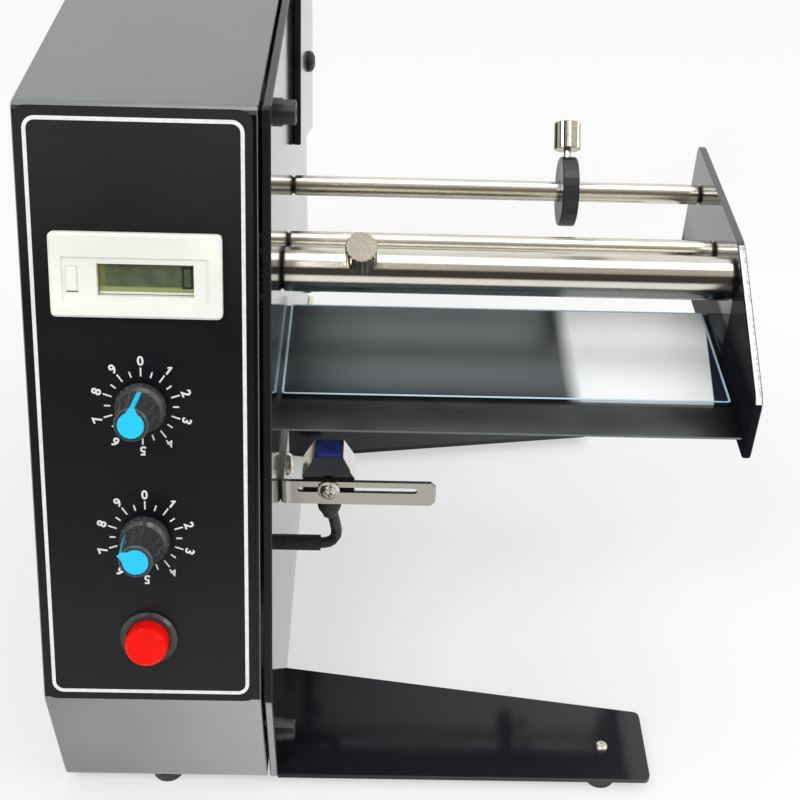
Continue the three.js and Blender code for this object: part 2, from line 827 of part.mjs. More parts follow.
function makeRodScrew({ back, up }) {
  const face = plateSpacing + plateThickness;
  const screw = turned([
    [0, face - rodScrewLength], [rodScrewRadius, face - rodScrewLength],
    [rodScrewRadius, face - rodScrewHeadHeight], [rodScrewHeadRadius - clearance / 2, face - clearance / 2],
    [socketRadius, face - clearance / 2], [socketRadius, face - socketDepth], [0, face - socketDepth],
  ], smallCircleSteps);
  return layAlongX(screw, back, up);
}

function makeOuterPlate() {
  const plate = alongX(outline([
    [outerRear, outerTop], [outerTopFront, outerTop], [outerFront, outerNose],
    [outerFront, outerBottom], [outerRear, outerBottom],
  ], [outerCorner, outerCorner, outerCorner, outerCorner / 2, outerCorner]),
  plateSpacing, plateSpacing + plateThickness, edgeBevel);
  const holes = Object.values(rods).map(({ back, up }) => layAlongX(turned([
    [0, plateSpacing - overrun], [rodScrewRadius + clearance, plateSpacing - overrun],
    [rodScrewRadius + clearance, plateSpacing + plateThickness - rodScrewHeadHeight - clearance / 2],
    [rodScrewHeadRadius + clearance, plateSpacing + plateThickness],
    [rodScrewHeadRadius + clearance, plateSpacing + plateThickness + overrun],
    [0, plateSpacing + plateThickness + overrun],
  ], smallCircleSteps), back, up));
  return cut(plate, ...holes);
}

// Thumbscrew along local Z with its head's underside at the given height above the stem's foot
function makeThumbscrew(headRadius, headHeight, neckHeight) {
  const head = new THREE.Shape();
  for (let i = 0; i < thumbRidges * 2; i += 1) {
    const angle = i * Math.PI / thumbRidges;
    const radius = headRadius - (i % 2) * thumbRidgeDepth;
    const point = [radius * Math.cos(angle), radius * Math.sin(angle)];
    if (i === 0) head.moveTo(...point);
    else head.lineTo(...point);
  }
  head.closePath();
  const crown = extrude(head, neckHeight, neckHeight + headHeight, thumbChamfer / 2);
  const stem = cylinder(thumbNeckRadius, -thumbStemLength, neckHeight + thumbChamfer, 0, smallCircleSteps);
  return join(crown, stem);
}

function leanBack(geometry, degrees) {
  return geometry.rotateX(-THREE.MathUtils.degToRad(degrees));
}

function makeCollar() {
  const disc = layAlongX(cylinder(collarRadius, collarMiddle - collarThickness / 2,
    collarMiddle + collarThickness / 2, edgeBevel, wideCircleSteps), upperRodBack, upperRodUp);
  const bore = layAlongX(cylinder(rodRadius + clearance, collarMiddle - collarThickness,
    collarMiddle + collarThickness, 0, circleSteps), upperRodBack, upperRodUp);
  const tapped = leanBack(cylinder(thumbNeckRadius + clearance, 0, collarRadius + overrun, 0, holeSteps),
    collarThumbLeanDegrees).translate(collarMiddle, upperRodBack, upperRodUp);
  return cut(disc, bore, tapped);
}

// Label platform

function makePlatform() {
  const low = platformTop - platformSheet;
  const section = outline([
    [platformFront, platformTop], [platformFront, low + platformSheet / 2],
    [platformFront + platformSheet, low], [platformRear - platformSheet, low],
    [platformRear - platformSheet, platformTop - platformLip], [platformRear, platformTop - platformLip],
    [platformRear, platformTop],
  ]);
  const sheet = alongX(section, 0, plateSpacing);
  const ears = [0, plateSpacing - platformSheet].map((x) => block(
    x, x + platformSheet, platformFront + platformTongue, platformRear - platformTongue,
    platformTop - platformLip, low + platformSheet / 2));
  return join(sheet, ...ears);
}

function makeMirror() {
  return extrude(outline([
    [mirrorMargin, mirrorFront], [plateSpacing - mirrorMargin, mirrorFront],
    [plateSpacing - mirrorMargin, mirrorRear], [mirrorMargin, mirrorRear],
  ], mirrorCorner), platformTop, mirrorTop);
}

// Foot plates with tongues through slots in the main plate, and rubber pads pressed into them

function makeFootPlate(foot) {
  const back = (depth) => foot.edge + foot.inward * depth;
  const shape = outline([
    [0, back(0)], [footReach, back(0)], [footReach, back(footTipDepth)], [0, back(footRootDepth)],
  ], [0, footCorner, footCorner, 0]);
  punch(shape, circle(padScrewRadius + clearance, footReach - padScrewFromTip, back(padScrewFromEdge)));
  const sheet = extrude(shape, standHeight, standHeight + footThickness);
  const tongues = tonguePlaces(foot).map(([from, to]) => block(-plateThickness, overrun,
    from, to, standHeight, standHeight + footThickness));
  const pinHole = cylinder(padPinRadius + clearance, standHeight - overrun,
    standHeight + footPinHoleDepth, 0, holeSteps);
  return cut(join(sheet, ...tongues), pinHole.translate(footReach - padFromTip, back(padFromEdge), 0));
}

// A pad is held by a pin on its top that sits in the sheet above it
function makePad(x, y, pinLength) {
  return turned([[0, 0], [padRadius - padTaper, 0], [padRadius, standHeight],
    [padPinRadius, standHeight], [padPinRadius, standHeight + pinLength],
    [0, standHeight + pinLength]], circleSteps).translate(x, y, 0);
}

const padFront = baseFront + padFromEdge;
const padRear = housingRear - padFromEdge;

// Screws

function makeCapScrew([back, up]) {
  const top = capWasherHeight + capHeadHeight;
  return layAlongX(turned([
    [0, -capShankLength], [capShankRadius, -capShankLength], [capShankRadius, 0],
    [capWasherRadius, 0], [capWasherRadius, capWasherHeight], [capHeadRadius, capWasherHeight],
    [capHeadRadius, top - edgeBevel], [capHeadRadius - edgeBevel, top],
    [capSocketRadius, top], [capSocketRadius, top - capSocketDepth], [0, top - capSocketDepth],
  ], smallCircleSteps), back, up);
}

function crossCut(radius, top) {
  const bar = (w, h) => block(-w / 2, w / 2, -h / 2, h / 2, top - crossDepth, top + overrun);
  return [bar(crossWidth, radius), bar(radius, crossWidth)];
}

// Pan head screw along local Z, its head standing on z = 0
function makePanScrew(headRadius, headHeight, shankRadius, shankLength) {
  const screw = turned([
    [0, -shankLength], [shankRadius, -shankLength], [shankRadius, 0], [headRadius, 0],
    [headRadius, headHeight * panRimShare], [headRadius * panShoulderShare, headHeight * panRiseShare],
    [headRadius / 2, headHeight], [0, headHeight],
  ], smallCircleSteps);
  return cut(screw, ...crossCut(headRadius, headHeight));
}

// Sensor bracket: a strip of sheet bent round from a leg on the main plate

const bracketScrewBack = bracketFront + bracketScrewFromFront;
const bracketScrewUp = bracketTop - bracketHeight / 2;

function makeBracket() {
  const plan = outline([
    [0, bracketFront + bracketSheet + bracketLegDepth], [0, bracketFront],
    [bracketReach, bracketFront], [bracketReach, bracketFront + bracketSheet],
    [bracketSheet, bracketFront + bracketSheet],
    [bracketSheet, bracketFront + bracketSheet + bracketLegDepth],
  ], [0, bracketBend, 0, 0, bracketBend - bracketSheet, 0]);
  const strip = extrude(plan, bracketTop - bracketHeight, bracketTop);
  const ends = alongY(outline([
    [-overrun, bracketTop - bracketHeight - overrun], [-overrun, bracketTop + overrun],
    [bracketReach - bracketCorner, bracketTop + overrun], [bracketReach - bracketCorner, bracketTop],
    [bracketReach, bracketTop - bracketCorner], [bracketReach, bracketTop - bracketHeight + bracketCorner],
    [bracketReach - bracketCorner, bracketTop - bracketHeight],
    [bracketReach - bracketCorner, bracketTop - bracketHeight - overrun],
  ].reverse()), bracketFront - overrun, bracketFront + bracketLegDepth + overrun);
  const slot = alongY(rectangle(slotEnd - slotStart, slotHalf * 2, slotHalf * slotRoundShare,
    (slotStart + slotEnd) / 2, bracketTop - slotDown), bracketFront - overrun,
  bracketFront + bracketSheet + overrun);
  const hole = layAlongX(cylinder(panShankRadius + clearance, -overrun, bracketSheet + overrun, 0,
    holeSteps), bracketScrewBack, bracketScrewUp);
  return cut(fromSolid(toSolid(strip).intersect(toSolid(ends))), slot, hole);
}

// Sensor: a wedge-topped body behind the strip, in local coordinates centred on its screw
const sensorFront = bracketFront + bracketSheet;
const sensorFloor = bracketTop - slotDown - sensorBase;

function makeSensorBody() {
  const [w, t] = [sensorBaseWidth / 2, sensorTopWidth / 2];
  const top = sensorFloor + sensorHeight;
  const body = alongY(outline([
    [sensorAlong - w, sensorFloor], [sensorAlong + w, sensorFloor],
    [sensorAlong + w, bracketTop + sensorShoulder / 3], [sensorAlong + t, top],
    [sensorAlong - t, top], [sensorAlong - w, bracketTop + sensorShoulder / 3],
  ]), sensorFront, sensorFront + sensorDepth, edgeBevel);
  const slope = alongX(outline([
    [sensorFront - overrun, bracketTop + sensorShoulder], [sensorFront - overrun, top + overrun],
    [sensorFront + sensorShoulder / 2, top + overrun], [sensorFront + sensorShoulder / 2, top],
    [sensorFront, bracketTop + sensorShoulder],
  ].reverse()), sensorAlong - sensorBaseWidth, sensorAlong + sensorBaseWidth);
  const pocket = extrude(rectangle(sensorWindowWidth + clearance * 2, sensorWindowDepth + clearance * 2, 0,
    sensorAlong, sensorMiddle), top - sensorWindowSunk - clearance, top + overrun);
  const tapped = cylinder(sensorScrewRadius + clearance, 0, sensorScrewLength + overrun, 0, holeSteps)
    .rotateX(-Math.PI / 2).translate(sensorAlong, sensorFront - overrun, bracketTop - slotDown);
  const gland = cylinder(cableRadius + clearance, sensorFloor - overrun, sensorFloor + sensorBase / 2, 0,
    holeSteps).translate(sensorAlong, sensorMiddle, 0);
  return cut(body, slope, pocket, tapped, gland);
}

const sensorMiddle = sensorFront + sensorDepth / 2 + sensorShoulder / 4;

function makeSensorWindow() {
  const top = sensorFloor + sensorHeight;
  return extrude(rectangle(sensorWindowWidth, sensorWindowDepth, sensorWindowProud, sensorAlong,
    sensorMiddle), top - sensorWindowSunk, top + sensorWindowProud);
}

function makeSensorScrew() {
  const pan = makePanScrew(sensorScrewHead, sensorScrewHeight, sensorScrewRadius, sensorScrewLength)
    .translate(0, 0, washerThickness);
  const washer = cylinder(washerRadius, 0, washerThickness + clearance / 3, 0, smallCircleSteps);
  return join(pan, washer).rotateX(Math.PI / 2)
    .translate(sensorAlong, bracketFront, bracketTop - slotDown);
}

// A round tube along a curve
function tube(curve, radius, sides, steps) {
  return new THREE.ExtrudeGeometry(polygon(radius, sides), {
    steps, bevelEnabled: false, extrudePath: curve,
  });
}

function polygon(radius, sides) {
  const shape = new THREE.Shape();
  for (let i = 0; i < sides; i += 1) {
    const angle = i * 2 * Math.PI / sides;
    const point = [radius * Math.cos(angle), radius * Math.sin(angle)];
    if (i === 0) shape.moveTo(...point);
    else shape.lineTo(...point);
  }
  shape.closePath();
  return shape;
}

// The lead drops from the sensor, turns towards the main plate and runs on inside the sleeve
function makeSensorCable() {
  const top = sensorFloor + sensorBase / 2 - clearance;
  const fall = sensorFloor - sleeveUp - cableBend;
  const start = sleeveReach + cableLead;
  const across = start + cableBend;
  const at = (x, y, z) => new THREE.Vector3(x, y, z);
  const points = [
    at(sensorAlong, sensorMiddle, top),
    at(sensorAlong, sensorMiddle, sensorFloor - fall / 4),
    at((sensorAlong + across) / 2, (sensorMiddle + sleeveBack) / 2, sensorFloor - fall * cableMiddleShare),
    at(across, sleeveBack, sensorFloor - fall * cableEndShare),
  ];
  for (let i = 0; i <= cableBendSteps; i += 1) {
    const angle = i / cableBendSteps * Math.PI / 2;
    points.push(at(start + cableBend * Math.cos(angle), sleeveBack,
      sleeveUp + cableBend * (1 - Math.sin(angle))));
  }
  const straight = start + cableInside;
  for (let i = 1; i <= cableBendSteps * 2; i += 1) {
    points.push(at(start - straight * i / cableBendSteps / 2, sleeveBack, sleeveUp));
  }
  return tube(new THREE.CatmullRomCurve3(points), cableRadius, cableSides, cableSteps);
}

function makeSleeve() {
  const [from, to] = [-plateThickness - sleeveInside, sleeveReach];
  const bore = sleeveRadius - sleeveWall;
  return layAlongX(cut(cylinder(sleeveRadius, from, to, 0, smallCircleSteps),
    cylinder(bore, from - overrun, to + overrun, 0, smallCircleSteps)), sleeveBack, sleeveUp);
}

// Roll holder

// Angle at which a line from an outside point touches a circle, on the side given as +1 or -1
function touchAngle([px, py], [cx, cy], radius, side) {
  const away = Math.atan2(py - cy, px - cx);
  return away + side * Math.acos(radius / Math.hypot(px - cx, py - cy));
}

function makeRollArm() {
  const centre = [rollBack, rollUp];
  const heel = [armHeelBack, housingHeight - armHeelDown];
  const front = [armFrontBack, housingHeight - armFrontDown];
  const shape = new THREE.Shape();
  shape.moveTo(...front);
  shape.lineTo(armToeBack, housingHeight - armToeDown);
  shape.lineTo(...heel);
  shape.absarc(...centre, armHeadRadius, touchAngle(heel, centre, armHeadRadius, 1),
    touchAngle(front, centre, armHeadRadius, -1), false);
  shape.closePath();
  const plate = alongX(shape, 0, armThickness, edgeBevel, headSteps);
  const hole = (radius, back, up) => layAlongX(cylinder(radius + clearance, -overrun,
    armThickness + overrun, 0, holeSteps), back, up);
  return cut(plate, hole(spindleStudRadius, ...centre),
    ...Object.values(armScrewPlaces).map((up) => hole(panShankRadius, armScrewBack, up)));
}

// The spindle turns in the arm and carries the fixed inner disc
function makeRollSpindle() {
  const start = armThickness + clearance;
  return layAlongX(turned([
    [0, -spindleCapHeight], [spindleCapRadius, -spindleCapHeight],
    [spindleCapRadius, -clearance], [spindleStudRadius, -clearance], [spindleStudRadius, start],
    [discHubRadius, start], [discHubRadius, innerDiscAt - discPocketDepth],
    [discRadius - discRimWidth, innerDiscAt - discPocketDepth], [discRadius - discRimWidth, innerDiscAt],
    [discRadius, innerDiscAt], [discRadius, innerDiscAt + discThickness - edgeBevel],
    [discRadius - edgeBevel, innerDiscAt + discThickness],
    [spindleRadius, innerDiscAt + discThickness], [spindleRadius, spindleEnd - rodChamfer],
    [spindleRadius - rodChamfer, spindleEnd], [0, spindleEnd],
  ], wideCircleSteps), rollBack, rollUp);
}

// A dished disc with a hub, free to slide along the spindle
function makeOuterDisc() {
  const profile = [
    [spindleRadius + clearance, 0], [discRadius - edgeBevel, 0], [discRadius, edgeBevel],
    [discRadius, discThickness], [discRadius - discRimWidth, discThickness],
    [discRadius - discRimWidth, discThickness - discPocketDepth],
    [discHubRadius, discThickness - discPocketDepth], [discHubRadius, discHubLength - edgeBevel],
    [discHubRadius - edgeBevel, discHubLength], [spindleRadius + clearance, discHubLength],
    [spindleRadius + clearance, 0],
  ];
  return layAlongX(turned(profile, wideCircleSteps).translate(0, 0, outerDiscAt), rollBack, rollUp);
}

// Take-up roller and clip

function makeTakeupRoller() {
  const inner = -plateThickness - gearStart - gearWidth - overrun;
  return layAlongX(turned([
    [0, inner], [rollerShaftRadius, inner], [rollerShaftRadius, rollerStart - rollerFlangeThickness],
    [rollerFlangeRadius, rollerStart - rollerFlangeThickness], [rollerFlangeRadius, rollerStart],
    [rollerRadius, rollerStart], [rollerRadius, rollerEnd - rodChamfer],
    [rollerRadius - rodChamfer, rollerEnd], [0, rollerEnd],
  ], circleSteps), rollerBack, rollerUp);
}

function makeClip() {
  const start = rollerStart + clearance;
  const straight = clipReach - clipHalfWidth;
  const at = (x, y) => new THREE.Vector3(x, y, 0);
  const bend = new THREE.CubicBezierCurve3(at(straight, -clipHalfWidth),
    at(straight + clipHalfWidth * 4 / 3, -clipHalfWidth),
    at(straight + clipHalfWidth * 4 / 3, clipHalfWidth), at(straight, clipHalfWidth));
  const legs = [-clipHalfWidth, clipHalfWidth].map((y) => layAlongX(cylinder(clipWireRadius, start,
    straight + clipWireRadius, 0, clipSides), y, 0));
  return join(tube(bend, clipWireRadius, clipSides, clipSteps), ...legs).translate(0, rollerBack, rollerUp);
}

function makeBearing() {
  const bore = rollerShaftRadius + clearance;
  return layAlongX(turned([
    [bore, -plateThickness], [bearingRadius, -plateThickness], [bearingRadius, 0],
    [bearingFlangeRadius, 0], [bearingFlangeRadius, bearingFlange],
    [bore, bearingFlange], [bore, -plateThickness],
  ], smallCircleSteps), rollerBack, rollerUp);
}

// Spur gear along local Z with straight-sided teeth, a tooth or a gap centred on local +X
function makeGear(teeth, boreRadius, gapFirst) {
  const pitchRadius = teeth * gearModule / 2;
  const [tip, root] = [pitchRadius + gearModule, pitchRadius - gearModule * toothDepthShare];
  const pitch = 2 * Math.PI / teeth;
  const half = (share, radius) => share * pitch - gearBacklash / 2 / radius;
  const shape = new THREE.Shape();
  for (let i = 0; i < teeth; i += 1) {
    const middle = (i + (gapFirst ? 1 / 2 : 0)) * pitch;
    const [atRoot, atTip] = [half(toothRootShare, root), half(toothTipShare, tip)];
    const corners = [[root, -atRoot], [tip, -atTip], [tip, atTip], [root, atRoot]];
    corners.forEach(([radius, angle], k) => {
      const point = [radius * Math.cos(middle + angle), radius * Math.sin(middle + angle)];
      if (i === 0 && k === 0) shape.moveTo(...point);
      else shape.lineTo(...point);
    });
  }
  shape.closePath();
  shape.holes.push(circle(boreRadius + clearance));
  const from = -plateThickness - gearStart - gearWidth;
  return extrude(shape, from, from + gearWidth, 0, headSteps);
}

const motorUp = rollerUp + (rollerTeeth + motorTeeth) * gearModule / 2 + clearance / 2;

// Local +X of a gear turned to lie along X points down, so each is turned to face its partner
function layGear(geometry, back, up, quarterTurns) {
  return layAlongX(geometry.rotateZ(quarterTurns * Math.PI / 2), back, up);
}

function makeGearMotor() {
  const front = -plateThickness - gearStart - gearWidth - gearboxGap;
  const up = motorUp + gearboxOffset;
  const box = layAlongX(cylinder(gearboxRadius, front - gearboxDepth, front, 0, circleSteps),
    rollerBack, up);
  const can = layAlongX(cylinder(motorRadius, housingLeft + housingWall + motorWallGap,
    front - gearboxDepth + overrun, 0, circleSteps), rollerBack, up);
  const shaft = layAlongX(cylinder(motorShaftRadius, front - overrun, -plateThickness - gearStart, 0,
    smallCircleSteps), rollerBack, motorUp);
  const posts = [0, 1, 2].map((quarter) => {
    const angle = quarter * Math.PI / 2;
    return layAlongX(cylinder(motorPostRadius, front - overrun, -plateThickness, 0, smallCircleSteps),
      rollerBack + motorPostCircle * Math.cos(angle), up + motorPostCircle * Math.sin(angle));
  });
  return join(box, can, shaft, ...posts);
}

// Electronics

function makeControlBoard() {
  const left = housingLeft + housingWall + clearance;
  const face = left + boardStandoff;
  const top = face + boardThickness;
  const root = face + boardThickness / 2;
  const back = (share) => boardBack + boardWidth * share;
  const up = (share) => boardUp + boardHeight * share;
  const sheet = block(face, top, back(0), back(1), up(0), up(1));
  const boxed = ([from, low, wide, tall], high) => block(root, top + high, back(from), back(from + wide),
    up(low), up(low + tall));
  const round = ([from, low], radius, high) => layAlongX(cylinder(radius, root, top + high, 0,
    smallCircleSteps), back(from), up(low));
  const posts = boardPostShares.flatMap((across) => boardPostShares.map((rise) => layAlongX(
    cylinder(boardStandoff / 2, left, root, 0, toolSides * 2), back(across), up(rise))));
  return join(sheet, boxed(chipShares, chipHeight), boxed(relayShares, relayHeight),
    boxed(terminalShares, terminalHeight), round(largeCanShares, largeCanRadius, largeCanHeight),
    round(smallCanShares, smallCanRadius, smallCanHeight), ...posts);
}

function makePowerSupply() {
  const low = standHeight + housingWall + clearance;
  const coreHalf = supplyDepth / 2;
  const core = block(panelMiddle - coreHalf, panelMiddle + coreHalf, supplyBack,
    supplyBack + supplyLength * supplyCoreShare, low, low + supplyHeight);
  const coilHalf = coreHalf * supplyCoilShare;
  const coilBack = supplyBack - supplyLength * supplyCoilLeadShare;
  const coilRise = supplyHeight * supplyCoilRiseShare;
  const coil = block(panelMiddle - coilHalf, panelMiddle + coilHalf, coilBack, coilBack + supplyLength,
    low + coilRise, low + supplyHeight - coilRise);
  return join(core, coil);
}

function makeMainsInlet() {
  const up = inletUp + inletHeight / 2;
  const rear = housingRear + clearance;
  const flange = alongY(rectangle(inletWidth + inletFlange * 2, inletHeight + inletFlange, inletFlange / 2,
    coverMiddle, up), rear, rear + inletProud);
  const body = alongY(rectangle(inletWidth, inletHeight, 0, coverMiddle, up), housingRear - inletDepth,
    rear + inletProud / 2);
  const socketUp = up - inletHeight / 2 + inletSocketHeight / 2 + inletFlange;
  const floor = rear + inletProud - inletSocketDepth;
  const socket = alongY(rectangle(inletSocketWidth, inletSocketHeight, inletFlange / 2, coverMiddle,
    socketUp), floor, rear + inletProud + overrun);
  const pins = [[-inletPinGap, 0], [0, inletPinHeight / 2], [inletPinGap, 0]].map(([x, z]) => block(
    coverMiddle + x - inletPinWidth / 2, coverMiddle + x + inletPinWidth / 2,
    floor - overrun, floor + inletPinLength,
    socketUp + z - inletPinHeight / 2, socketUp + z + inletPinHeight / 2));
  const fuse = cylinder(fuseCapRadius, -overrun, inletProud, edgeBevel, smallCircleSteps)
    .rotateX(-Math.PI / 2).translate(coverMiddle, rear + inletProud / 2, up + inletHeight / 4);
  return join(cut(join(flange, body), socket), ...pins, fuse);
}

// Housing side
add('main_plate', makeMainPlate(), 'black');
add('housing_shell', makeHousingShell(), 'satin');
add('rear_cover', makeRearCover(), 'satin');
add('panel_overlay', makeOverlay(), 'sticker', panel);
add('counter_case', makeCounterCase(), 'ivory', panel);
add('counter_window', makeCounterWindow(), 'lcd', panel);
add('reset_key', makeResetKey(), 'ivory', panel);
const dials = {
  length: [lengthDialDown, lengthPointerDegrees],
  speed: [speedDialDown, speedPointerDegrees],
};
Object.entries(dials).forEach(([name, [down, degrees]]) => {
  add(`${name}_potentiometer`, makePotentiometer(down), 'steel', panel);
  add(`${name}_knob`, makeKnob(down, degrees), 'darkPlastic', panel);
  add(`${name}_pointer`, makePointer(down, degrees), 'blue', panel);
});
add('switch_body', makeSwitchBody(), 'darkPlastic', panel);
add('power_button', makePowerButton(), 'red', panel);

// Rods, plates and guides
add('outer_plate', makeOuterPlate(), 'black');
add('upper_rod', makeRod(rods.upper), 'nickel');
add('middle_rod', makeRod(rods.middle), 'nickel');
const barBore = cylinder(thumbNeckRadius + clearance, frontBarRadius - thumbStemLength - clearance,
  frontBarRadius + overrun, 0, holeSteps);
add('front_bar', cut(makeRod(rods.front), leanBack(barBore, barThumbLeanDegrees)
  .translate(barThumbAlong, frontBarBack, frontBarUp)), 'nickel');
Object.entries(rods).forEach(([name, rod]) => add(`rod_screw_${name}`, makeRodScrew(rod), 'darkPlastic'));
add('guide_collar', makeCollar(), 'darkPlastic');
const collarThumb = makeThumbscrew(collarThumbRadius, collarThumbHeight, thumbNeckHeight)
  .translate(0, 0, collarRadius);
add('collar_thumbscrew', leanBack(collarThumb, collarThumbLeanDegrees)
  .translate(collarMiddle, upperRodBack, upperRodUp), 'nickel');
const barThumb = makeThumbscrew(barThumbRadius, barThumbHeight, barThumbNeck)
  .translate(0, 0, frontBarRadius);
add('bar_thumbscrew', leanBack(barThumb, barThumbLeanDegrees)
  .translate(barThumbAlong, frontBarBack, frontBarUp), 'nickel');
add('platform', makePlatform(), 'black');
add('platform_mirror', makeMirror(), 'mirror');

// Feet
Object.entries(feet).forEach(([name, foot]) => {
  const padBack = foot.edge + foot.inward * padFromEdge;
  const screwBack = foot.edge + foot.inward * padScrewFromEdge;
  add(`${name}_foot_plate`, makeFootPlate(foot), 'black');
  add(`${name}_foot_pad`, makePad(footReach - padFromTip, padBack, footPinLength), 'rubber');
  add(`${name}_pad_screw`, makePanScrew(padScrewHead, padScrewHeight, padScrewRadius, padScrewLength)
    .translate(footReach - padScrewFromTip, screwBack, standHeight + footThickness), 'nickel');
});
add('housing_front_pad', makePad(panelMiddle, padFront, housingPinLength), 'rubber');
add('housing_rear_pad', makePad(panelMiddle, padRear, housingPinLength), 'rubber');
Object.entries(capPlaces).forEach(([name, place]) => add(`plate_screw_${name}`,
  makeCapScrew(place), 'black'));

// Sensor
add('sensor_bracket', makeBracket(), 'steel');
add('sensor_body', makeSensorBody(), 'nickel');
add('sensor_window', makeSensorWindow(), 'lens');
add('sensor_screw', makeSensorScrew(), 'nickel');
add('bracket_screw', makePanScrew(panHeadRadius, panHeadHeight, panShankRadius, panShankLength)
  .rotateY(Math.PI / 2).translate(bracketSheet, bracketScrewBack, bracketScrewUp), 'nickel');
add('sensor_cable', makeSensorCable(), 'rubber');
add('cable_sleeve', makeSleeve(), 'rubber');

// Roll holder
add('roll_arm', makeRollArm(), 'black');
Object.entries(armScrewPlaces).forEach(([name, up]) => add(`arm_screw_${name}`,
  makePanScrew(panHeadRadius, panHeadHeight, panShankRadius, panShankLength)
    .rotateY(Math.PI / 2).translate(armThickness, armScrewBack, up), 'black'));
add('roll_spindle', makeRollSpindle(), 'nickel');
add('roll_disc', makeOuterDisc(), 'darkPlastic');

// Take-up roller and its drive
add('takeup_roller', makeTakeupRoller(), 'nickel');
add('takeup_clip', makeClip(), 'nickel');
add('roller_bearing', makeBearing(), 'brass');
add('roller_gear', layGear(makeGear(rollerTeeth, rollerShaftRadius, false), rollerBack, rollerUp, 2),
  'brass');
add('motor_gear', layGear(makeGear(motorTeeth, motorShaftRadius, true), rollerBack, motorUp, 0), 'brass');
add('gear_motor', makeGearMotor(), 'core');

// Electronics
add('control_board', makeControlBoard(), 'board');
add('power_supply', makePowerSupply(), 'core');
add('mains_inlet', makeMainsInlet(), 'darkPlastic');

// Stand the machine on the middle of its own base
machine.updateMatrixWorld(true);
const extent = new THREE.Box3().setFromObject(machine, true);
const middle = extent.getCenter(new THREE.Vector3());
machine.position.set(-middle.x, -middle.y, -extent.min.z);

export default machine;
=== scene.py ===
"""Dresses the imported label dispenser: materials, printed marks, small trim, floor, light and camera."""

import json
import math

import bpy
from mathutils import Matrix, Vector


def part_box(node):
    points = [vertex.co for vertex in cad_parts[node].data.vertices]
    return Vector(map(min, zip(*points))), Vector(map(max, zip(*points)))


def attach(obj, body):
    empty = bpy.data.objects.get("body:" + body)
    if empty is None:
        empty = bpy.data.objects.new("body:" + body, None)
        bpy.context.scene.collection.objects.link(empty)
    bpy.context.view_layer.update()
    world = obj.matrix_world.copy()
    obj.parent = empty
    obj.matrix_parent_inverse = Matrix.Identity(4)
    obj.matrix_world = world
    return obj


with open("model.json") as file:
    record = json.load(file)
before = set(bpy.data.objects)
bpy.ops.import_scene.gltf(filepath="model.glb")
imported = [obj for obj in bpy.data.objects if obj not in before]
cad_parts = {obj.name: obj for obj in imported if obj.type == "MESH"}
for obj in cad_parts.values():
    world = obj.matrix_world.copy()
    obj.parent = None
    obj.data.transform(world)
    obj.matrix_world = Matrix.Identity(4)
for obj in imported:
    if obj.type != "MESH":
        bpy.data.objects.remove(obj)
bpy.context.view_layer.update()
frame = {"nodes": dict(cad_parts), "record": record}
scene = bpy.context.scene
nodes = frame["nodes"]

MM = 0.001


def mm(*lengths):
    """Lengths given in millimetres, in metres."""
    return tuple(length * MM for length in lengths)


# Places taken from the frame: X = 0 on the main plate's right face, Y = 0 on the housing's top
# front edge, Z = 0 on the table
PANEL_TILT = math.radians(20)
HOUSING_WIDTH = 67 * MM
HOUSING_TOP = 220 * MM
HOUSING_DEPTH = 160 * MM
PANEL_MIDDLE = -37.4 * MM
FILM_TOP = 0.7 * MM
PLATE_LOW, PLATE_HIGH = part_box("main_plate")
ORIGIN = Vector((PLATE_HIGH[0], PLATE_HIGH[1] - HOUSING_DEPTH, 0))
PANEL_OUT = Vector((0, -math.cos(PANEL_TILT), math.sin(PANEL_TILT)))
PANEL_UP = Vector((0, math.sin(PANEL_TILT), math.cos(PANEL_TILT)))
PANEL_ORIGIN = ORIGIN + Vector((PANEL_MIDDLE, 0, HOUSING_TOP))
PANEL_AXES = Matrix((Vector((1, 0, 0)), PANEL_UP, PANEL_OUT)).transposed()
PANEL_FRAME = Matrix.Translation(PANEL_ORIGIN) @ PANEL_AXES.to_4x4()

# Camera: the photograph's place, heading and field of view
CAMERA_PLACE = ORIGIN + Vector(mm(29.6, -338.6, 377.3))
CAMERA_PITCH = math.radians(37.03)
CAMERA_YAW = math.radians(1.38)
CAMERA_ROLL = math.radians(-2.02)
CAMERA_NEAR = 10 * MM
FRAME_PIXELS = 800
FOCAL_PIXELS = 1344.9
SENSOR = 36


def make_camera():
    data = bpy.data.cameras.new("camera")
    data.sensor_width = SENSOR
    data.lens = FOCAL_PIXELS / FRAME_PIXELS * SENSOR
    data.clip_start = CAMERA_NEAR
    camera = bpy.data.objects.new("camera", data)
    scene.collection.objects.link(camera)
    forward = Vector((math.sin(CAMERA_YAW) * math.cos(CAMERA_PITCH),
                      math.cos(CAMERA_YAW) * math.cos(CAMERA_PITCH), -math.sin(CAMERA_PITCH)))
    level = Vector((math.cos(CAMERA_YAW), -math.sin(CAMERA_YAW), 0))
    down = forward.cross(level)
    right = level * math.cos(CAMERA_ROLL) + down * math.sin(CAMERA_ROLL)
    down = down * math.cos(CAMERA_ROLL) - level * math.sin(CAMERA_ROLL)
    axes = Matrix((right, -down, -forward)).transposed()
    camera.matrix_world = Matrix.Translation(CAMERA_PLACE) @ axes.to_4x4()
    scene.camera = camera


# Node trees

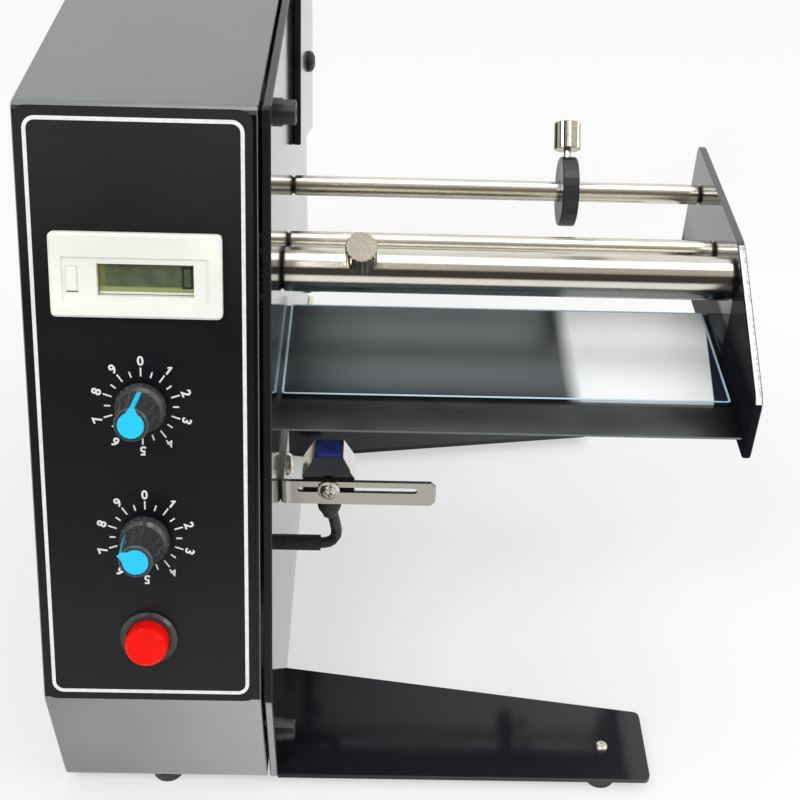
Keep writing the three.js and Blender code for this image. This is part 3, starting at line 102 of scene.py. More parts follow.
class Tree:
    """A short way of writing a node tree."""

    def __init__(self, tree):
        self.nodes = tree.nodes
        self.links = tree.links

    def node(self, kind, **settings):
        made = self.nodes.new(kind)
        for key, value in settings.items():
            setattr(made, key, value)
        return made

    def link(self, source, target):
        self.links.new(source, target)

    def ranged(self, value, low, high, to_low, to_high, **settings):
        """A value taken from one range to another, and held at its ends."""
        made = self.node("ShaderNodeMapRange", **settings)
        made.inputs["From Min"].default_value = low
        made.inputs["From Max"].default_value = high
        made.inputs["To Min"].default_value = to_low
        made.inputs["To Max"].default_value = to_high
        self.link(value, made.inputs["Value"])
        return made.outputs["Result"]

    def mixed(self, factor, first, second):
        """Two colours, each a constant or an output, mixed by a factor that varies."""
        made = self.node("ShaderNodeMix", data_type="RGBA")
        for socket, value in ((made.inputs[6], first), (made.inputs[7], second)):
            if isinstance(value, tuple):
                socket.default_value = (*value, 1)
            else:
                self.link(value, socket)
        self.link(factor, made.inputs["Factor"])
        return made.outputs[2]

    def combined(self, operation, first, second):
        """Two outputs put together by one operation."""
        made = self.node("ShaderNodeMath", operation=operation)
        self.link(first, made.inputs[0])
        self.link(second, made.inputs[1])
        return made.outputs[0]


# Most noise values lie between these two
NOISE_LOW, NOISE_HIGH = 0.3, 0.7
BEVEL_SAMPLES = 6


class Graph(Tree):
    """A node material whose coordinates are the row frame's metres."""

    def __init__(self, name, color, roughness, metallic=0.0, **sockets):
        self.material = bpy.data.materials.new(name)
        self.material.use_nodes = True
        self.material.diffuse_color = (*color, 1)
        super().__init__(self.material.node_tree)
        self.shader = self.nodes["Principled BSDF"]
        self.shader.inputs["Base Color"].default_value = (*color, 1)
        self.shader.inputs["Roughness"].default_value = roughness
        self.shader.inputs["Metallic"].default_value = metallic
        for socket, value in sockets.items():
            self.shader.inputs[socket.replace("_", " ")].default_value = value
        self.place = self.node("ShaderNodeTexCoord").outputs["Object"]
        self.tone = None
        self.smooth = None

    def feed(self, socket, output):
        self.link(output, self.shader.inputs[socket])

    def color(self, output):
        self.tone = output
        self.feed("Base Color", output)

    def over(self, mask, color):
        """Lays a colour over the present one where the mask is one."""
        self.color(self.mixed(mask, self.tone, color))

    def roughness(self, output):
        self.feed("Roughness", output)

    def stretch(self, scale):
        mapping = self.node("ShaderNodeMapping")
        mapping.inputs["Scale"].default_value = scale
        self.link(self.place, mapping.inputs["Vector"])
        return mapping.outputs["Vector"]

    def noise(self, scale, detail=3.0, vector=None):
        made = self.node("ShaderNodeTexNoise")
        made.inputs["Scale"].default_value = scale
        made.inputs["Detail"].default_value = detail
        self.link(vector or self.place, made.inputs["Vector"])
        return made.outputs["Fac"]

    def spread(self, noise, to_low=0, to_high=1):
        """A noise spread over a range."""
        return self.ranged(noise, NOISE_LOW, NOISE_HIGH, to_low, to_high)

    def drift(self, scale, detail, to_low=0, to_high=1):
        """A value that drifts between two levels in soft patches."""
        return self.spread(self.noise(scale, detail), to_low, to_high)

    def dusty(self, color):
        """Paint with fine specks of dust."""
        specks = self.ranged(self.noise(900, 2), 0.66, 0.74, 0, 0.5)
        return self.mixed(specks, color, lighter(color, 1.8))

    def facing(self, direction, low, high):
        """One where the surface faces a direction, nought where it turns away from it."""
        dot = self.node("ShaderNodeVectorMath", operation="DOT_PRODUCT")
        self.link(self.smooth or self.node("ShaderNodeNewGeometry").outputs["Normal"], dot.inputs[0])
        dot.inputs[1].default_value = direction
        return self.ranged(dot.outputs["Value"], low, high, 0, 1)

    def coordinate(self, letter):
        split = self.node("ShaderNodeSeparateXYZ")
        self.link(self.place, split.inputs["Vector"])
        return split.outputs[letter]

    def axis(self, letter, low, high, to_low, to_high):
        """A value that runs along one axis between two places."""
        return self.ranged(self.coordinate(letter), low, high, to_low, to_high)

    def beyond(self, letter, place, distances, to_low, to_high):
        """A value that runs along one axis between two distances from a place."""
        low, high = distances
        return self.axis(letter, place + low, place + high, to_low, to_high)

    def across(self, letter, box, shares, to_low, to_high):
        """A value that runs along one axis between two shares of a box."""
        start, end = (corner["XYZ".index(letter)] for corner in box)
        return self.beyond(letter, start, [share * (end - start) for share in shares], to_low, to_high)

    def ease_edges(self, radius):
        """Rounds the shading over edges, so that a many-sided rod shines as a round one."""
        made = self.node("ShaderNodeBevel", samples=BEVEL_SAMPLES)
        made.inputs["Radius"].default_value = radius
        self.smooth = made.outputs["Normal"]

    def bump(self, height, strength, distance):
        made = self.node("ShaderNodeBump")
        if self.smooth:
            self.link(self.smooth, made.inputs["Normal"])
        made.inputs["Strength"].default_value = strength
        made.inputs["Distance"].default_value = distance
        self.link(height, made.inputs["Height"])
        self.feed("Normal", made.outputs["Normal"])


def lighter(color, factor):
    return tuple(min(1.0, part * factor) for part in color)


# Materials: each function makes one and gives back its graph

BLACK = (0.0095, 0.0105, 0.0135)
GLOSS = 0.085
NICKEL = (0.76, 0.72, 0.63)
NICKEL_ROUGHNESS = 0.15
NICKEL_SPECKLE = 0.008
NICKEL_EASE = 1.1 * MM
FINE_RELIEF = 0.1 * MM
COARSE_RELIEF = 0.2 * MM
# Shares of a box at its two ends
WHOLE = (0, 1)
# The least and the greatest roughness of baked paint
GLOSS_PATCHES = (0.068, 0.115)
FOOT_PATCHES = (0.07, 0.12)
BLACK_METAL_PATCHES = (0.256, 0.432)
# Direction that the main plate's lowest front face looks in
LOWER_FRONT_OUT = (0, -0.94, -0.34)


def coated(name, color, roughness, patches, peel=0.05):
    """Glossy baked paint: faint orange peel, dust and a slightly uneven shine."""
    graph = Graph(name, color, roughness)
    graph.color(graph.dusty(color))
    graph.roughness(graph.drift(18, 4, *patches))
    graph.bump(graph.noise(420, 2), peel, COARSE_RELIEF)
    return graph


def main_plate_coat():
    """Glossy black sheet whose narrow front edge is dull above, with a painted pale reflection lowest down.
    """
    graph = coated("main_plate_coat", BLACK, GLOSS, GLOSS_PATCHES)
    # Painted reflection: the lowest front face, which looks forward and down, is painted pale
    graph.over(graph.facing(LOWER_FRONT_OUT, 0.9, 0.97), (0.33, 0.325, 0.325))
    edge = graph.facing((0, -1, 0), 0.5, 0.8)
    graph.feed("Specular IOR Level", graph.ranged(edge, 0, 1, 0.5, 0.12))
    return graph


def foot_coat():
    """Glossy black sheet, deepest beside the main plate."""
    graph = coated("foot_coat", BLACK, GLOSS, FOOT_PATCHES)
    graph.feed("Specular IOR Level", graph.across("X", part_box("front_foot_plate"), WHOLE, 0.12, 0.62))
    return graph


# The outer plate's inner face is dim in front and low down, where it looks at the dark platform,
# and bright further back and higher up, where it looks at the room
SHADE_HEIGHTS = mm(130, 142)
SHADE_DEPTHS = mm(18, 27)
# In front of these depths the shade reaches higher by the rise
RISE_DEPTHS = mm(45, 55)
SHADE_RISE = 9 * MM
# Where the painted reflection on the slanted edge turns from even to patchy, from the plate's outer face
RAGGED_BORDER = mm(-1.3, -0.9)


def outer_plate_coat():
    """Glossy black sheet whose slanted front edge carries a painted pale, mottled reflection."""
    graph = Graph("outer_plate_coat", BLACK, GLOSS)
    rise = graph.beyond("Y", ORIGIN.y, RISE_DEPTHS, SHADE_RISE, 0)
    height = graph.combined("SUBTRACT", graph.coordinate("Z"), rise)
    inner = graph.combined("MULTIPLY", graph.ranged(height, *SHADE_HEIGHTS, 0.015, 1.6),
                           graph.beyond("Y", ORIGIN.y, SHADE_DEPTHS, 0.004, 1.0))
    outer = graph.ranged(graph.facing((1, 0, 0), 0.5, 0.8), 0, 1, 0, 0.6)
    graph.feed("Specular IOR Level", graph.combined("MAXIMUM", inner, outer))
    upper = graph.axis("Z", *SHADE_HEIGHTS, 0, 1)
    graph.feed("Specular Tint", graph.mixed(upper, (0.22, 0.24, 0.30), (1.0, 1.0, 1.0)))
    # Painted reflection: the slanted front edge is painted pale and mottled, and made duller
    slope = graph.facing((0, -0.75, 0.66), 0.86, 0.93)
    rough = graph.ranged(graph.noise(900, 3), 0.4, 0.6, 0, 1)
    mottled_glint = graph.mixed(rough, (0.47, 0.47, 0.44), (0.83, 0.83, 0.79))
    ragged = graph.beyond("X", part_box("outer_plate")[1][0], RAGGED_BORDER, 0, 1)
    edge_glint = graph.mixed(ragged, (0.80, 0.80, 0.765), mottled_glint)
    graph.color(graph.mixed(slope, BLACK, edge_glint))
    graph.roughness(graph.ranged(slope, 0, 1, GLOSS, 0.5))
    graph.bump(graph.noise(420, 2), 0.05, COARSE_RELIEF)
    return graph


def satin_coat():
    """Dark coat with a painted sheen: top and lower front painted grey as reflections, other faces dark."""
    color = (0.268, 0.280, 0.270)
    graph = Graph("satin_coat", color, 0.2, 1.0)
    even = graph.mixed(graph.drift(14, 4), lighter(color, 0.97), lighter(color, 1.05))
    # Painted reflection: paler where a face looks down
    under = graph.mixed(graph.facing((0, 0, -1), 0.1, 0.3), even, lighter(color, 1.17))
    # Painted sheen: only faces that look up keep the grey, the others are much darker
    graph.color(graph.mixed(graph.facing((0, 0, 1), 0.15, 0.45), lighter(color, 0.3), under))
    # Painted reflection on the lower front: patchy, and paler to the right
    patchy_sheen = graph.drift(34, 4)
    left = graph.mixed(patchy_sheen, (0.235, 0.235, 0.24), (0.275, 0.275, 0.275))
    right = graph.mixed(patchy_sheen, (0.395, 0.393, 0.395), (0.44, 0.437, 0.435))
    fade = graph.beyond("X", PLATE_LOW[0], (-HOUSING_WIDTH, 0), 0, 1)
    lower_front = graph.mixed(fade, left, right)
    graph.over(graph.facing((0, -1, 0), 0.5, 0.8), lower_front)
    graph.over(graph.facing(tuple(PANEL_OUT), 0.97, 0.995), (0.03, 0.032, 0.036))
    graph.roughness(graph.drift(60, 3, 0.17, 0.25))
    graph.bump(graph.noise(1100, 2), 0.04, FINE_RELIEF)
    return graph


def dark_sheen():
    """Bent sheet with a thin dark coat through which the metal still shines."""
    color = (0.15, 0.162, 0.16)
    graph = Graph("dark_sheen", color, 0.16, 1.0)
    cloud = graph.drift(30, 4)
    # Painted shade: darker beside the main plate, paler outwards
    near = graph.mixed(cloud, lighter(color, 0.7), lighter(color, 0.77))
    out = graph.mixed(cloud, lighter(color, 1.35), lighter(color, 1.45))
    graph.color(graph.mixed(graph.across("X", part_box("platform"), WHOLE, 0, 1), near, out))
    graph.roughness(graph.drift(90, 3, 0.2, 0.25))
    graph.bump(graph.noise(900, 2), 0.04, FINE_RELIEF)
    return graph


# Where the leg's paler finish ends, from the bracket's side on the main plate
LEG_FINISH = mm(2.5, 4)


def bracket_steel():
    """Brushed strip whose leg beside the main plate is smoother and paler."""
    color = (0.42, 0.405, 0.36)
    graph = Graph("bracket_steel", color, 0.25, 1.0)
    leg = graph.beyond("X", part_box("sensor_bracket")[0][0], LEG_FINISH, 1, 0)
    grain = graph.noise(1500, 3, graph.stretch((0.05, 1, 1)))
    graph.color(graph.mixed(graph.spread(grain), lighter(color, 0.93), lighter(color, 1.06)))
    graph.over(leg, (0.80, 0.785, 0.73))
    graph.roughness(graph.mixed(leg, graph.spread(grain, 0.19, 0.35), (0.42, 0.42, 0.42)))
    return graph


def plastic(name, color, roughness, grain=0.12, **sockets):
    """Moulded plastic with a fine grain."""
    graph = Graph(name, color, roughness, **sockets)
    graph.color(graph.mixed(graph.drift(55, 3), lighter(color, 0.93), lighter(color, 1.07)))
    graph.roughness(graph.drift(160, 3, roughness * 0.85, roughness * 1.2))
    graph.bump(graph.noise(1400, 2), grain, FINE_RELIEF)
    return graph


def plated(name, color, roughness, speckle, ease=0):
    """Plated metal with a fine speckle."""
    graph = Graph(name, color, roughness, 1.0)
    if ease:
        graph.ease_edges(ease)
    grain = graph.noise(1500, 3)
    graph.color(graph.mixed(graph.drift(60, 3), lighter(color, 0.94), lighter(color, 1.04)))
    graph.roughness(graph.spread(grain, roughness * 0.75, roughness * 1.4))
    graph.bump(grain, speckle, COARSE_RELIEF)
    return graph


def polished_bar():
    """Polished nickel with painted dark reflections: one band across its front, and its underside."""
    graph = plated("polished_bar", NICKEL, NICKEL_ROUGHNESS, NICKEL_SPECKLE, NICKEL_EASE)
    # Painted dark reflection: one band across the front
    graph.over(graph.facing((0, -0.914, 0.407), 0.972, 0.986), (0.23, 0.22, 0.20))
    # Painted dark reflection along the underside
    graph.over(graph.facing((0, 0, -1), 0.09, 0.17), (0.24, 0.24, 0.235))
    return graph


# Shares of the film's height over which its foot and its top turn paler
FILM_FOOT_FADE = (0.15, 0.3)
FILM_TOP_FADE = (0.7, 0.95)


def film():
    """The printed panel film: near-black, satin, paler at its top and foot, with a fine sparkle."""
    foot = (0.0085, 0.0086, 0.0105)
    middle = (0.0030, 0.0037, 0.0062)
    top = (0.0195, 0.0190, 0.0205)
    graph = Graph("panel_film", foot, 0.36, Specular_IOR_Level=0.27)
    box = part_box("panel_overlay")
    graph.color(graph.mixed(graph.across("Z", box, FILM_FOOT_FADE, 0, 1), foot, middle))
    graph.over(graph.across("Z", box, FILM_TOP_FADE, 0, 1), top)
    cells = graph.node("ShaderNodeTexVoronoi")
    cells.inputs["Scale"].default_value = 1500
    graph.link(graph.place, cells.inputs["Vector"])
    spark = graph.ranged(cells.outputs["Distance"], 0.05, 0.14, 0.55, 0)
    patch = graph.ranged(graph.noise(700, 2), 0.55, 0.66, 0, 1)
    graph.over(graph.combined("MULTIPLY", spark, patch), (0.17, 0.155, 0.165))
    graph.roughness(graph.drift(30, 4, 0.3, 0.42))
    graph.bump(graph.noise(2200, 2), 0.08, FINE_RELIEF)
    return graph


# Where the shade at the display's left side ends, from that side, and where the light strip and the
# white line end, in shares of its height
DISPLAY_SHADE_END = mm(1.2, 2.2)
DISPLAY_STRIP_END = (0.24, 0.3)
DISPLAY_LINE_END = (0.1, 0.13)


def display():
    """The display behind its window: an olive field, a shade, a light strip and a white line."""
    field = (0.078, 0.098, 0.056)
    graph = Graph("display", field, 0.2, Coat_Weight=0.5, Coat_Roughness=0.05)
    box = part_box("counter_window")
    cloud = graph.ranged(graph.noise(260, 2), 0.35, 0.65, 0, 1)
    graph.color(graph.mixed(cloud, lighter(field, 0.85), lighter(field, 1.2)))
    graph.over(graph.beyond("X", box[0][0], DISPLAY_SHADE_END, 1, 0), (0.17, 0.165, 0.045))
    graph.over(graph.across("Z", box, DISPLAY_STRIP_END, 1, 0), (0.29, 0.32, 0.135))
    graph.over(graph.across("Z", box, DISPLAY_LINE_END, 1, 0), (0.80, 0.80, 0.72))
    return graph


def red_lens():
    """Translucent red cap with a faint painted glow."""
    graph = Graph("red_lens", (0.86, 0.008, 0.003), 0.2, Specular_IOR_Level=0.08, Emission_Strength=0.07)
    # Painted glow: a faint red emission, though the cap is no lamp
    graph.shader.inputs["Emission Color"].default_value = (1.0, 0.012, 0.003, 1)
    graph.color(graph.mixed(graph.drift(120, 3), (0.74, 0.006, 0.0025), (0.84, 0.008, 0.003)))
    graph.roughness(graph.drift(400, 2, 0.16, 0.26))
    return graph


def sensor_glass():
    """The sensor's blue window, under a clear gloss."""
    graph = Graph("sensor_glass", (0.012, 0.02, 0.16), 0.06, Coat_Weight=1.0, Coat_Roughness=0.03)
    graph.color(graph.mixed(graph.drift(240, 2), (0.03, 0.055, 0.33), (0.06, 0.12, 0.60)))
    return graph


def sensor_chrome():
    """Bright plated casting whose flat front carries a painted dark reflection."""
    bright = (0.72, 0.70, 0.66)
    graph = Graph("sensor_chrome", bright, 0.12, 1.0)
    graph.color(graph.mixed(graph.drift(90, 3), lighter(bright, 0.93), bright))
    # Painted reflection: the flat front is painted dark
    graph.over(graph.facing((0, -0.9, 0.436), 0.8, 0.87), (0.035, 0.037, 0.042))
    graph.roughness(graph.drift(300, 2, 0.09, 0.16))
    return graph


# Shares of the bright sheet's width over which its painted reflection changes, from the main plate outwards
DARK_REFLECTION_FADE = (0, 0.2)
DARK_REFLECTION_END = (0.63, 0.67)
PALE_FADE = (0.66, 0.88)
# The painted dark reflection of the outer plate on the bright sheet: its width in front, how far
# its border slants to the right towards the back, and the blur of that border
STRIP_WIDTH = 5.4 * MM
STRIP_SLANT = 6 * MM
STRIP_BLUR = 0.4 * MM


def mirror():
    """Bright sheet with a painted reflection: dark by the main plate, pale further out, dark by the outer
    plate.
    """
    graph = Graph("mirror_sheet", (0.5, 0.55, 0.6), 0.05, 1.0)
    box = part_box("platform_mirror")
    near = graph.across("X", box, DARK_REFLECTION_FADE, 0, 1)
    step = graph.across("X", box, DARK_REFLECTION_END, 0, 1)
    far = graph.across("X", box, PALE_FADE, 0, 1)
    # Painted reflection: dark beside the main plate, pale further out
    dark_reflection = graph.mixed(near, (0.075, 0.095, 0.105), (0.14, 0.155, 0.165))
    pale = graph.mixed(far, (0.84, 0.86, 0.88), (0.99, 0.99, 0.99))
    slant = graph.across("Y", box, WHOLE, 0, STRIP_SLANT)
    slanted = graph.combined("SUBTRACT", graph.coordinate("X"), slant)
    border = box[1][0] - STRIP_WIDTH
    strip = graph.ranged(slanted, border - STRIP_BLUR / 2, border + STRIP_BLUR / 2, 0, 1)
    graph.color(graph.mixed(step, dark_reflection, pale))
    # Painted dark reflection of the outer plate
    graph.over(strip, (0.016, 0.020, 0.034))
    graph.feed("Metallic", graph.ranged(step, 0, 1, 1.0, 0.12))
    graph.feed("Specular IOR Level", graph.ranged(strip, 0, 1, 0.5, 0.1))
    graph.roughness(graph.ranged(step, 0, 1, 0.24, 0.34))
    return graph


def rubber():
    """Dull black rubber with a faint bloom."""
    graph = Graph("rubber", (0.022, 0.022, 0.024), 0.62)
    bloom = graph.ranged(graph.noise(500, 3), 0.4, 0.7, 0, 1)
    graph.color(graph.mixed(bloom, (0.018, 0.018, 0.020), (0.04, 0.04, 0.042)))
    graph.bump(graph.noise(1800, 2), 0.2, COARSE_RELIEF)
    return graph


def painted_mark(name, color, roughness=0.5):
    """Screen-printed ink with a slightly uneven cover."""
    graph = Graph(name, color, roughness)
    cover = graph.ranged(graph.noise(600, 3), 0.35, 0.6, 0, 1)
    graph.color(graph.mixed(cover, lighter(color, 0.9), color))
    return graph


# Where the board's bare green face ends and its dark parts begin, from the box's left side
BOARD_FACE_END = mm(7.8, 8.0)


def board():
    """Green circuit board with dark parts on it."""
    green = (0.02, 0.11, 0.05)
    graph = Graph("board", green, 0.45)
    trace = graph.ranged(graph.noise(240, 1), 0.48, 0.52, 0, 0.6)
    graph.color(graph.mixed(trace, green, (0.035, 0.19, 0.08)))
    graph.over(graph.beyond("X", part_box("control_board")[0][0], BOARD_FACE_END, 0, 1), (0.03, 0.03, 0.035))
    return graph


def make_materials():
    """The material of each slot in the record."""
    graphs = {
        "gloss_black": coated("gloss_black", BLACK, GLOSS, GLOSS_PATCHES),
        "satin_coat": satin_coat(),
        "sticker": film(),
        "ivory": plastic("ivory", (0.81, 0.80, 0.735), 0.42, 0.04),
        "lcd": display(),
        "dark_plastic": plastic("dark_plastic", (0.032, 0.033, 0.033), 0.24, 0.01),
        "blue_plastic": plastic("blue_plastic", (0.003, 0.55, 0.89), 0.4, 0.04),
        "red_lens": red_lens(),
        "nickel": plated("nickel", NICKEL, NICKEL_ROUGHNESS, NICKEL_SPECKLE, NICKEL_EASE),
        "knurled_nickel": plated("knurled_nickel", (0.47, 0.43, 0.36), 0.2, 0.0),
        "black_metal": coated("black_metal", (0.020, 0.021, 0.024), 0.32, BLACK_METAL_PATCHES, 0.12),
        "mirror_sheet": mirror(),
        "stainless": bracket_steel(),
        "rubber": rubber(),
        "blue_lens": sensor_glass(),
        "brass": plated("brass", (0.62, 0.44, 0.17), 0.3, 0.1),
        "board": board(),
        "machine_steel": plated("machine_steel", (0.38, 0.39, 0.40), 0.34, 0.12),
    }
    return {slot: graph.material for slot, graph in graphs.items()}


def make_variants():
    """Nodes whose material differs from the rest of their slot."""
    foot = foot_coat()
    graphs = {
        "platform": dark_sheen(),
        "sensor_body": sensor_chrome(),
        "outer_plate": outer_plate_coat(),
        "front_foot_plate": foot,
        "rear_foot_plate": foot,
        "main_plate": main_plate_coat(),
        "front_bar": polished_bar(),
    }
    return {name: graph.material for name, graph in graphs.items()}


def dress_nodes(materials):
    slots = {part["node"]: part["material_slot"] for part in frame["record"]["subparts"]}
    variants = make_variants()
    for name, thing in nodes.items():
        for material_slot in thing.material_slots:
            material_slot.material = variants.get(name) or materials[slots[name]]


# New pieces, placed in the row frame and then set on the body that carries them

def carried(name, mesh, body):
    made = bpy.data.objects.new(name, mesh)
    scene.collection.objects.link(made)
    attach(made, body)
    return made


def make_mesh(name, points, faces, material, body, matrix=None):
    mesh = bpy.data.meshes.new(name)
    mesh.from_pydata([tuple(point) for point in points], [], faces)
    mesh.update()
    mesh.materials.append(material)
    if matrix is not None:
        mesh.transform(matrix)
    return carried(name, mesh, body)


def slab(outline, low, high):
    """Points and faces of a flat prism over an outline."""
    count = len(outline)
    points = [(*point, z) for z in (low, high) for point in outline]
    faces = [tuple(reversed(range(count))), tuple(range(count, 2 * count))]
    faces += [(i, (i + 1) % count, count + (i + 1) % count, count + i) for i in range(count)]
    return points, faces


def ring_slab(outer, inner, low, high):
    """Points and faces of a flat ring between two outlines with as many points each."""
    count = len(outer)
    points = [(*point, z) for outline in (outer, inner) for z in (low, high) for point in outline]
    faces = []
    for i in range(count):
        j = (i + 1) % count
        faces += [(i, j, count + j, count + i),
                  (2 * count + j, 2 * count + i, 3 * count + i, 3 * count + j),
                  (count + i, count + j, 3 * count + j, 3 * count + i),
                  (j, i, 2 * count + i, 2 * count + j)]
    return points, faces


def rounded_outline(x0, x1, y0, y1, radius, steps):
    """A rectangle's outline with round corners."""
    corners = ((x1 - radius, y1 - radius, 0), (x0 + radius, y1 - radius, 90),
               (x0 + radius, y0 + radius, 180), (x1 - radius, y0 + radius, 270))
    points = []
    for x, y, start in corners:
        for i in range(steps + 1):
            angle = math.radians(start + 90 * i / steps)
            points.append((x + radius * math.cos(angle), y + radius * math.sin(angle)))
    return points


def joined(parts):
    """Several (points, faces) lists as one."""
    points, faces = [], []
    for more_points, more_faces in parts:
        start = len(points)
        points += more_points
        faces += [tuple(start + i for i in face) for face in more_faces]
    return points, faces


def make_turned(name, rings, matrix, material, body):
    """A closed turned piece along Z, from rings of as many points each, smooth round its sides."""
    steps = len(rings[0])
    points = [point for circle in rings for point in circle]
    faces = []
    for k in range(len(rings) - 1):
        for i in range(steps):
            j = (i + 1) % steps
            faces.append((k * steps + i, k * steps + j, (k + 1) * steps + j, (k + 1) * steps + i))
    last = (len(rings) - 1) * steps
    faces += [tuple(reversed(range(steps))), tuple(range(last, last + steps))]
    made = make_mesh(name, points, faces, material, body, matrix)
    for face in made.data.polygons:
        face.use_smooth = len(face.vertices) == 4


def ring(radii, height):
    """Points round Z at one height, one for each radius."""
    turns = [2 * math.pi * i / len(radii) for i in range(len(radii))]
    return [(radius * math.cos(turn), radius * math.sin(turn), height)
            for radius, turn in zip(radii, turns)]


# Printed ink on the panel film
INK_HEIGHT = 0.06 * MM
INK_LOW = FILM_TOP + 0.01 * MM
INK_HIGH = INK_LOW + INK_HEIGHT

# Printed border, from the panel's centre line and down the slope from its top edge
BORDER_LEFT, BORDER_RIGHT = mm(-30.1, 30.3)
BORDER_TOP, BORDER_BOTTOM = mm(-3.4, -178.0)
BORDER_WIDTH = 1.1 * MM
BORDER_CORNER = 3.5 * MM
BORDER_STEPS = 8


def make_border(ink):
    outer = rounded_outline(BORDER_LEFT, BORDER_RIGHT, BORDER_BOTTOM, BORDER_TOP,
                            BORDER_CORNER, BORDER_STEPS)
    inner = rounded_outline(BORDER_LEFT + BORDER_WIDTH, BORDER_RIGHT - BORDER_WIDTH,
                            BORDER_BOTTOM + BORDER_WIDTH, BORDER_TOP - BORDER_WIDTH,
                            BORDER_CORNER - BORDER_WIDTH, BORDER_STEPS)
    points, faces = ring_slab(outer, inner, INK_LOW, INK_HIGH)
    make_mesh("panel_border", points, faces, ink, "frame", PANEL_FRAME)


# Dials
LENGTH_DIAL_DOWN = 85.3 * MM
SPEED_DIAL_DOWN = 126.2 * MM
DIAL_NUMBERS = 10
LONG_TICK = mm(9.0, 11.6)
SHORT_TICK = mm(9.0, 10.8)
TICK_WIDTH = 0.46 * MM
NUMBER_RADIUS = 13.6 * MM
NUMBER_HEIGHT = 2.7 * MM
# Outline of a bold figure one, in shares of its height
FIGURE_ONE_SHARES = ((-0.03, -0.5), (0.2, -0.5), (0.2, 0.5), (0.05, 0.5), (-0.25, 0.24), (-0.25, 0.06),
                     (-0.03, 0.2))
# The font's size over a figure's height, and how far its outline is thickened, in the same terms
FONT_SIZE_SHARE = 1.42
THICKENED_SHARE = 0.04
THICKENED_FOUR_SHARE = 0.015
FIGURE_CURVE_STEPS = 4


def dial_centre(down):
    return PANEL_FRAME @ Matrix.Translation((0, -down, 0))


def tick(angle, start, end):
    across = Vector((math.cos(angle), -math.sin(angle)))
    along = Vector((math.sin(angle), math.cos(angle)))
    half = TICK_WIDTH / 2
    corners = [along * start - across * half, along * start + across * half,
               along * end + across * half, along * end - across * half]
    return slab([tuple(corner) for corner in corners], INK_LOW, INK_HIGH)


def make_dial(name, down, ink):
    step = math.pi / DIAL_NUMBERS
    ticks = [tick(i * step, *(SHORT_TICK if i % 2 else LONG_TICK)) for i in range(DIAL_NUMBERS * 2)]
    points, faces = joined(ticks)
    make_mesh(f"{name}_dial_ticks", points, faces, ink, "frame", dial_centre(down))
    for number in range(DIAL_NUMBERS):
        turn = Matrix.Rotation(-number * 2 * step, 4, "Z")
        spot = dial_centre(down) @ turn @ Matrix.Translation((0, NUMBER_RADIUS, INK_LOW))
        if number == 1:
            outline = [(x * NUMBER_HEIGHT, y * NUMBER_HEIGHT) for x, y in FIGURE_ONE_SHARES]
            points, faces = slab(outline, 0, INK_HEIGHT)
            make_mesh(f"{name}_dial_{number}", points, faces, ink, "frame", spot)
        else:
            make_figure(f"{name}_dial_{number}", str(number), spot, ink)


def make_figure(name, text, matrix, ink):
    """One printed figure, centred on its place, made from the font's outline."""
    curve = bpy.data.curves.new(name, "FONT")
    curve.body = text
    curve.size = NUMBER_HEIGHT * FONT_SIZE_SHARE
    curve.offset = NUMBER_HEIGHT * (THICKENED_FOUR_SHARE if text == "4" else THICKENED_SHARE)
    curve.align_x = "CENTER"
    curve.align_y = "CENTER"
    curve.extrude = INK_HEIGHT / 2
    curve.resolution_u = FIGURE_CURVE_STEPS
    holder = bpy.data.objects.new(name, curve)
    scene.collection.objects.link(holder)
    mesh = bpy.data.meshes.new_from_object(holder.evaluated_get(bpy.context.evaluated_depsgraph_get()))
    bpy.data.objects.remove(holder)
    bpy.data.curves.remove(curve)
    xs = [vertex.co.x for vertex in mesh.vertices]
    ys = [vertex.co.y for vertex in mesh.vertices]
    middle = Matrix.Translation((-(min(xs) + max(xs)) / 2, -(min(ys) + max(ys)) / 2, INK_HEIGHT / 2))
    mesh.transform(matrix @ middle)
    mesh.materials.clear()
    mesh.materials.append(ink)
    mesh.name = name
    carried(name, mesh, "frame")


# Display figure: the segments of a nought, on the display's surface
WINDOW_TOP = 1.7 * MM
SEGMENT_HEIGHT = 0.05 * MM
FIGURE_LEFT, FIGURE_RIGHT = mm(12.55, 15.6)
FIGURE_TOP, FIGURE_BOTTOM = mm(-44.0, -50.3)
SEGMENT = 0.62 * MM
SEGMENT_GAP = 0.14 * MM


def make_display_figure(ink):
    middle = (FIGURE_TOP + FIGURE_BOTTOM) / 2
    left, right = FIGURE_LEFT + SEGMENT_GAP, FIGURE_RIGHT - SEGMENT_GAP
    bars = [(left, right, FIGURE_TOP - SEGMENT, FIGURE_TOP),
            (left, right, FIGURE_BOTTOM, FIGURE_BOTTOM + SEGMENT)]
    for x in (FIGURE_LEFT, FIGURE_RIGHT - SEGMENT):
        bars.append((x, x + SEGMENT, middle + SEGMENT_GAP, FIGURE_TOP - SEGMENT_GAP))
        bars.append((x, x + SEGMENT, FIGURE_BOTTOM + SEGMENT_GAP, middle - SEGMENT_GAP))
    parts = []
    for x0, x1, y0, y1 in bars:
        outline = [(x0, y0), (x1, y0), (x1, y1), (x0, y1)]
        parts.append(slab(outline, WINDOW_TOP, WINDOW_TOP + SEGMENT_HEIGHT))
    points, faces = joined(parts)
    make_mesh("display_figure", points, faces, ink, "frame", PANEL_FRAME)


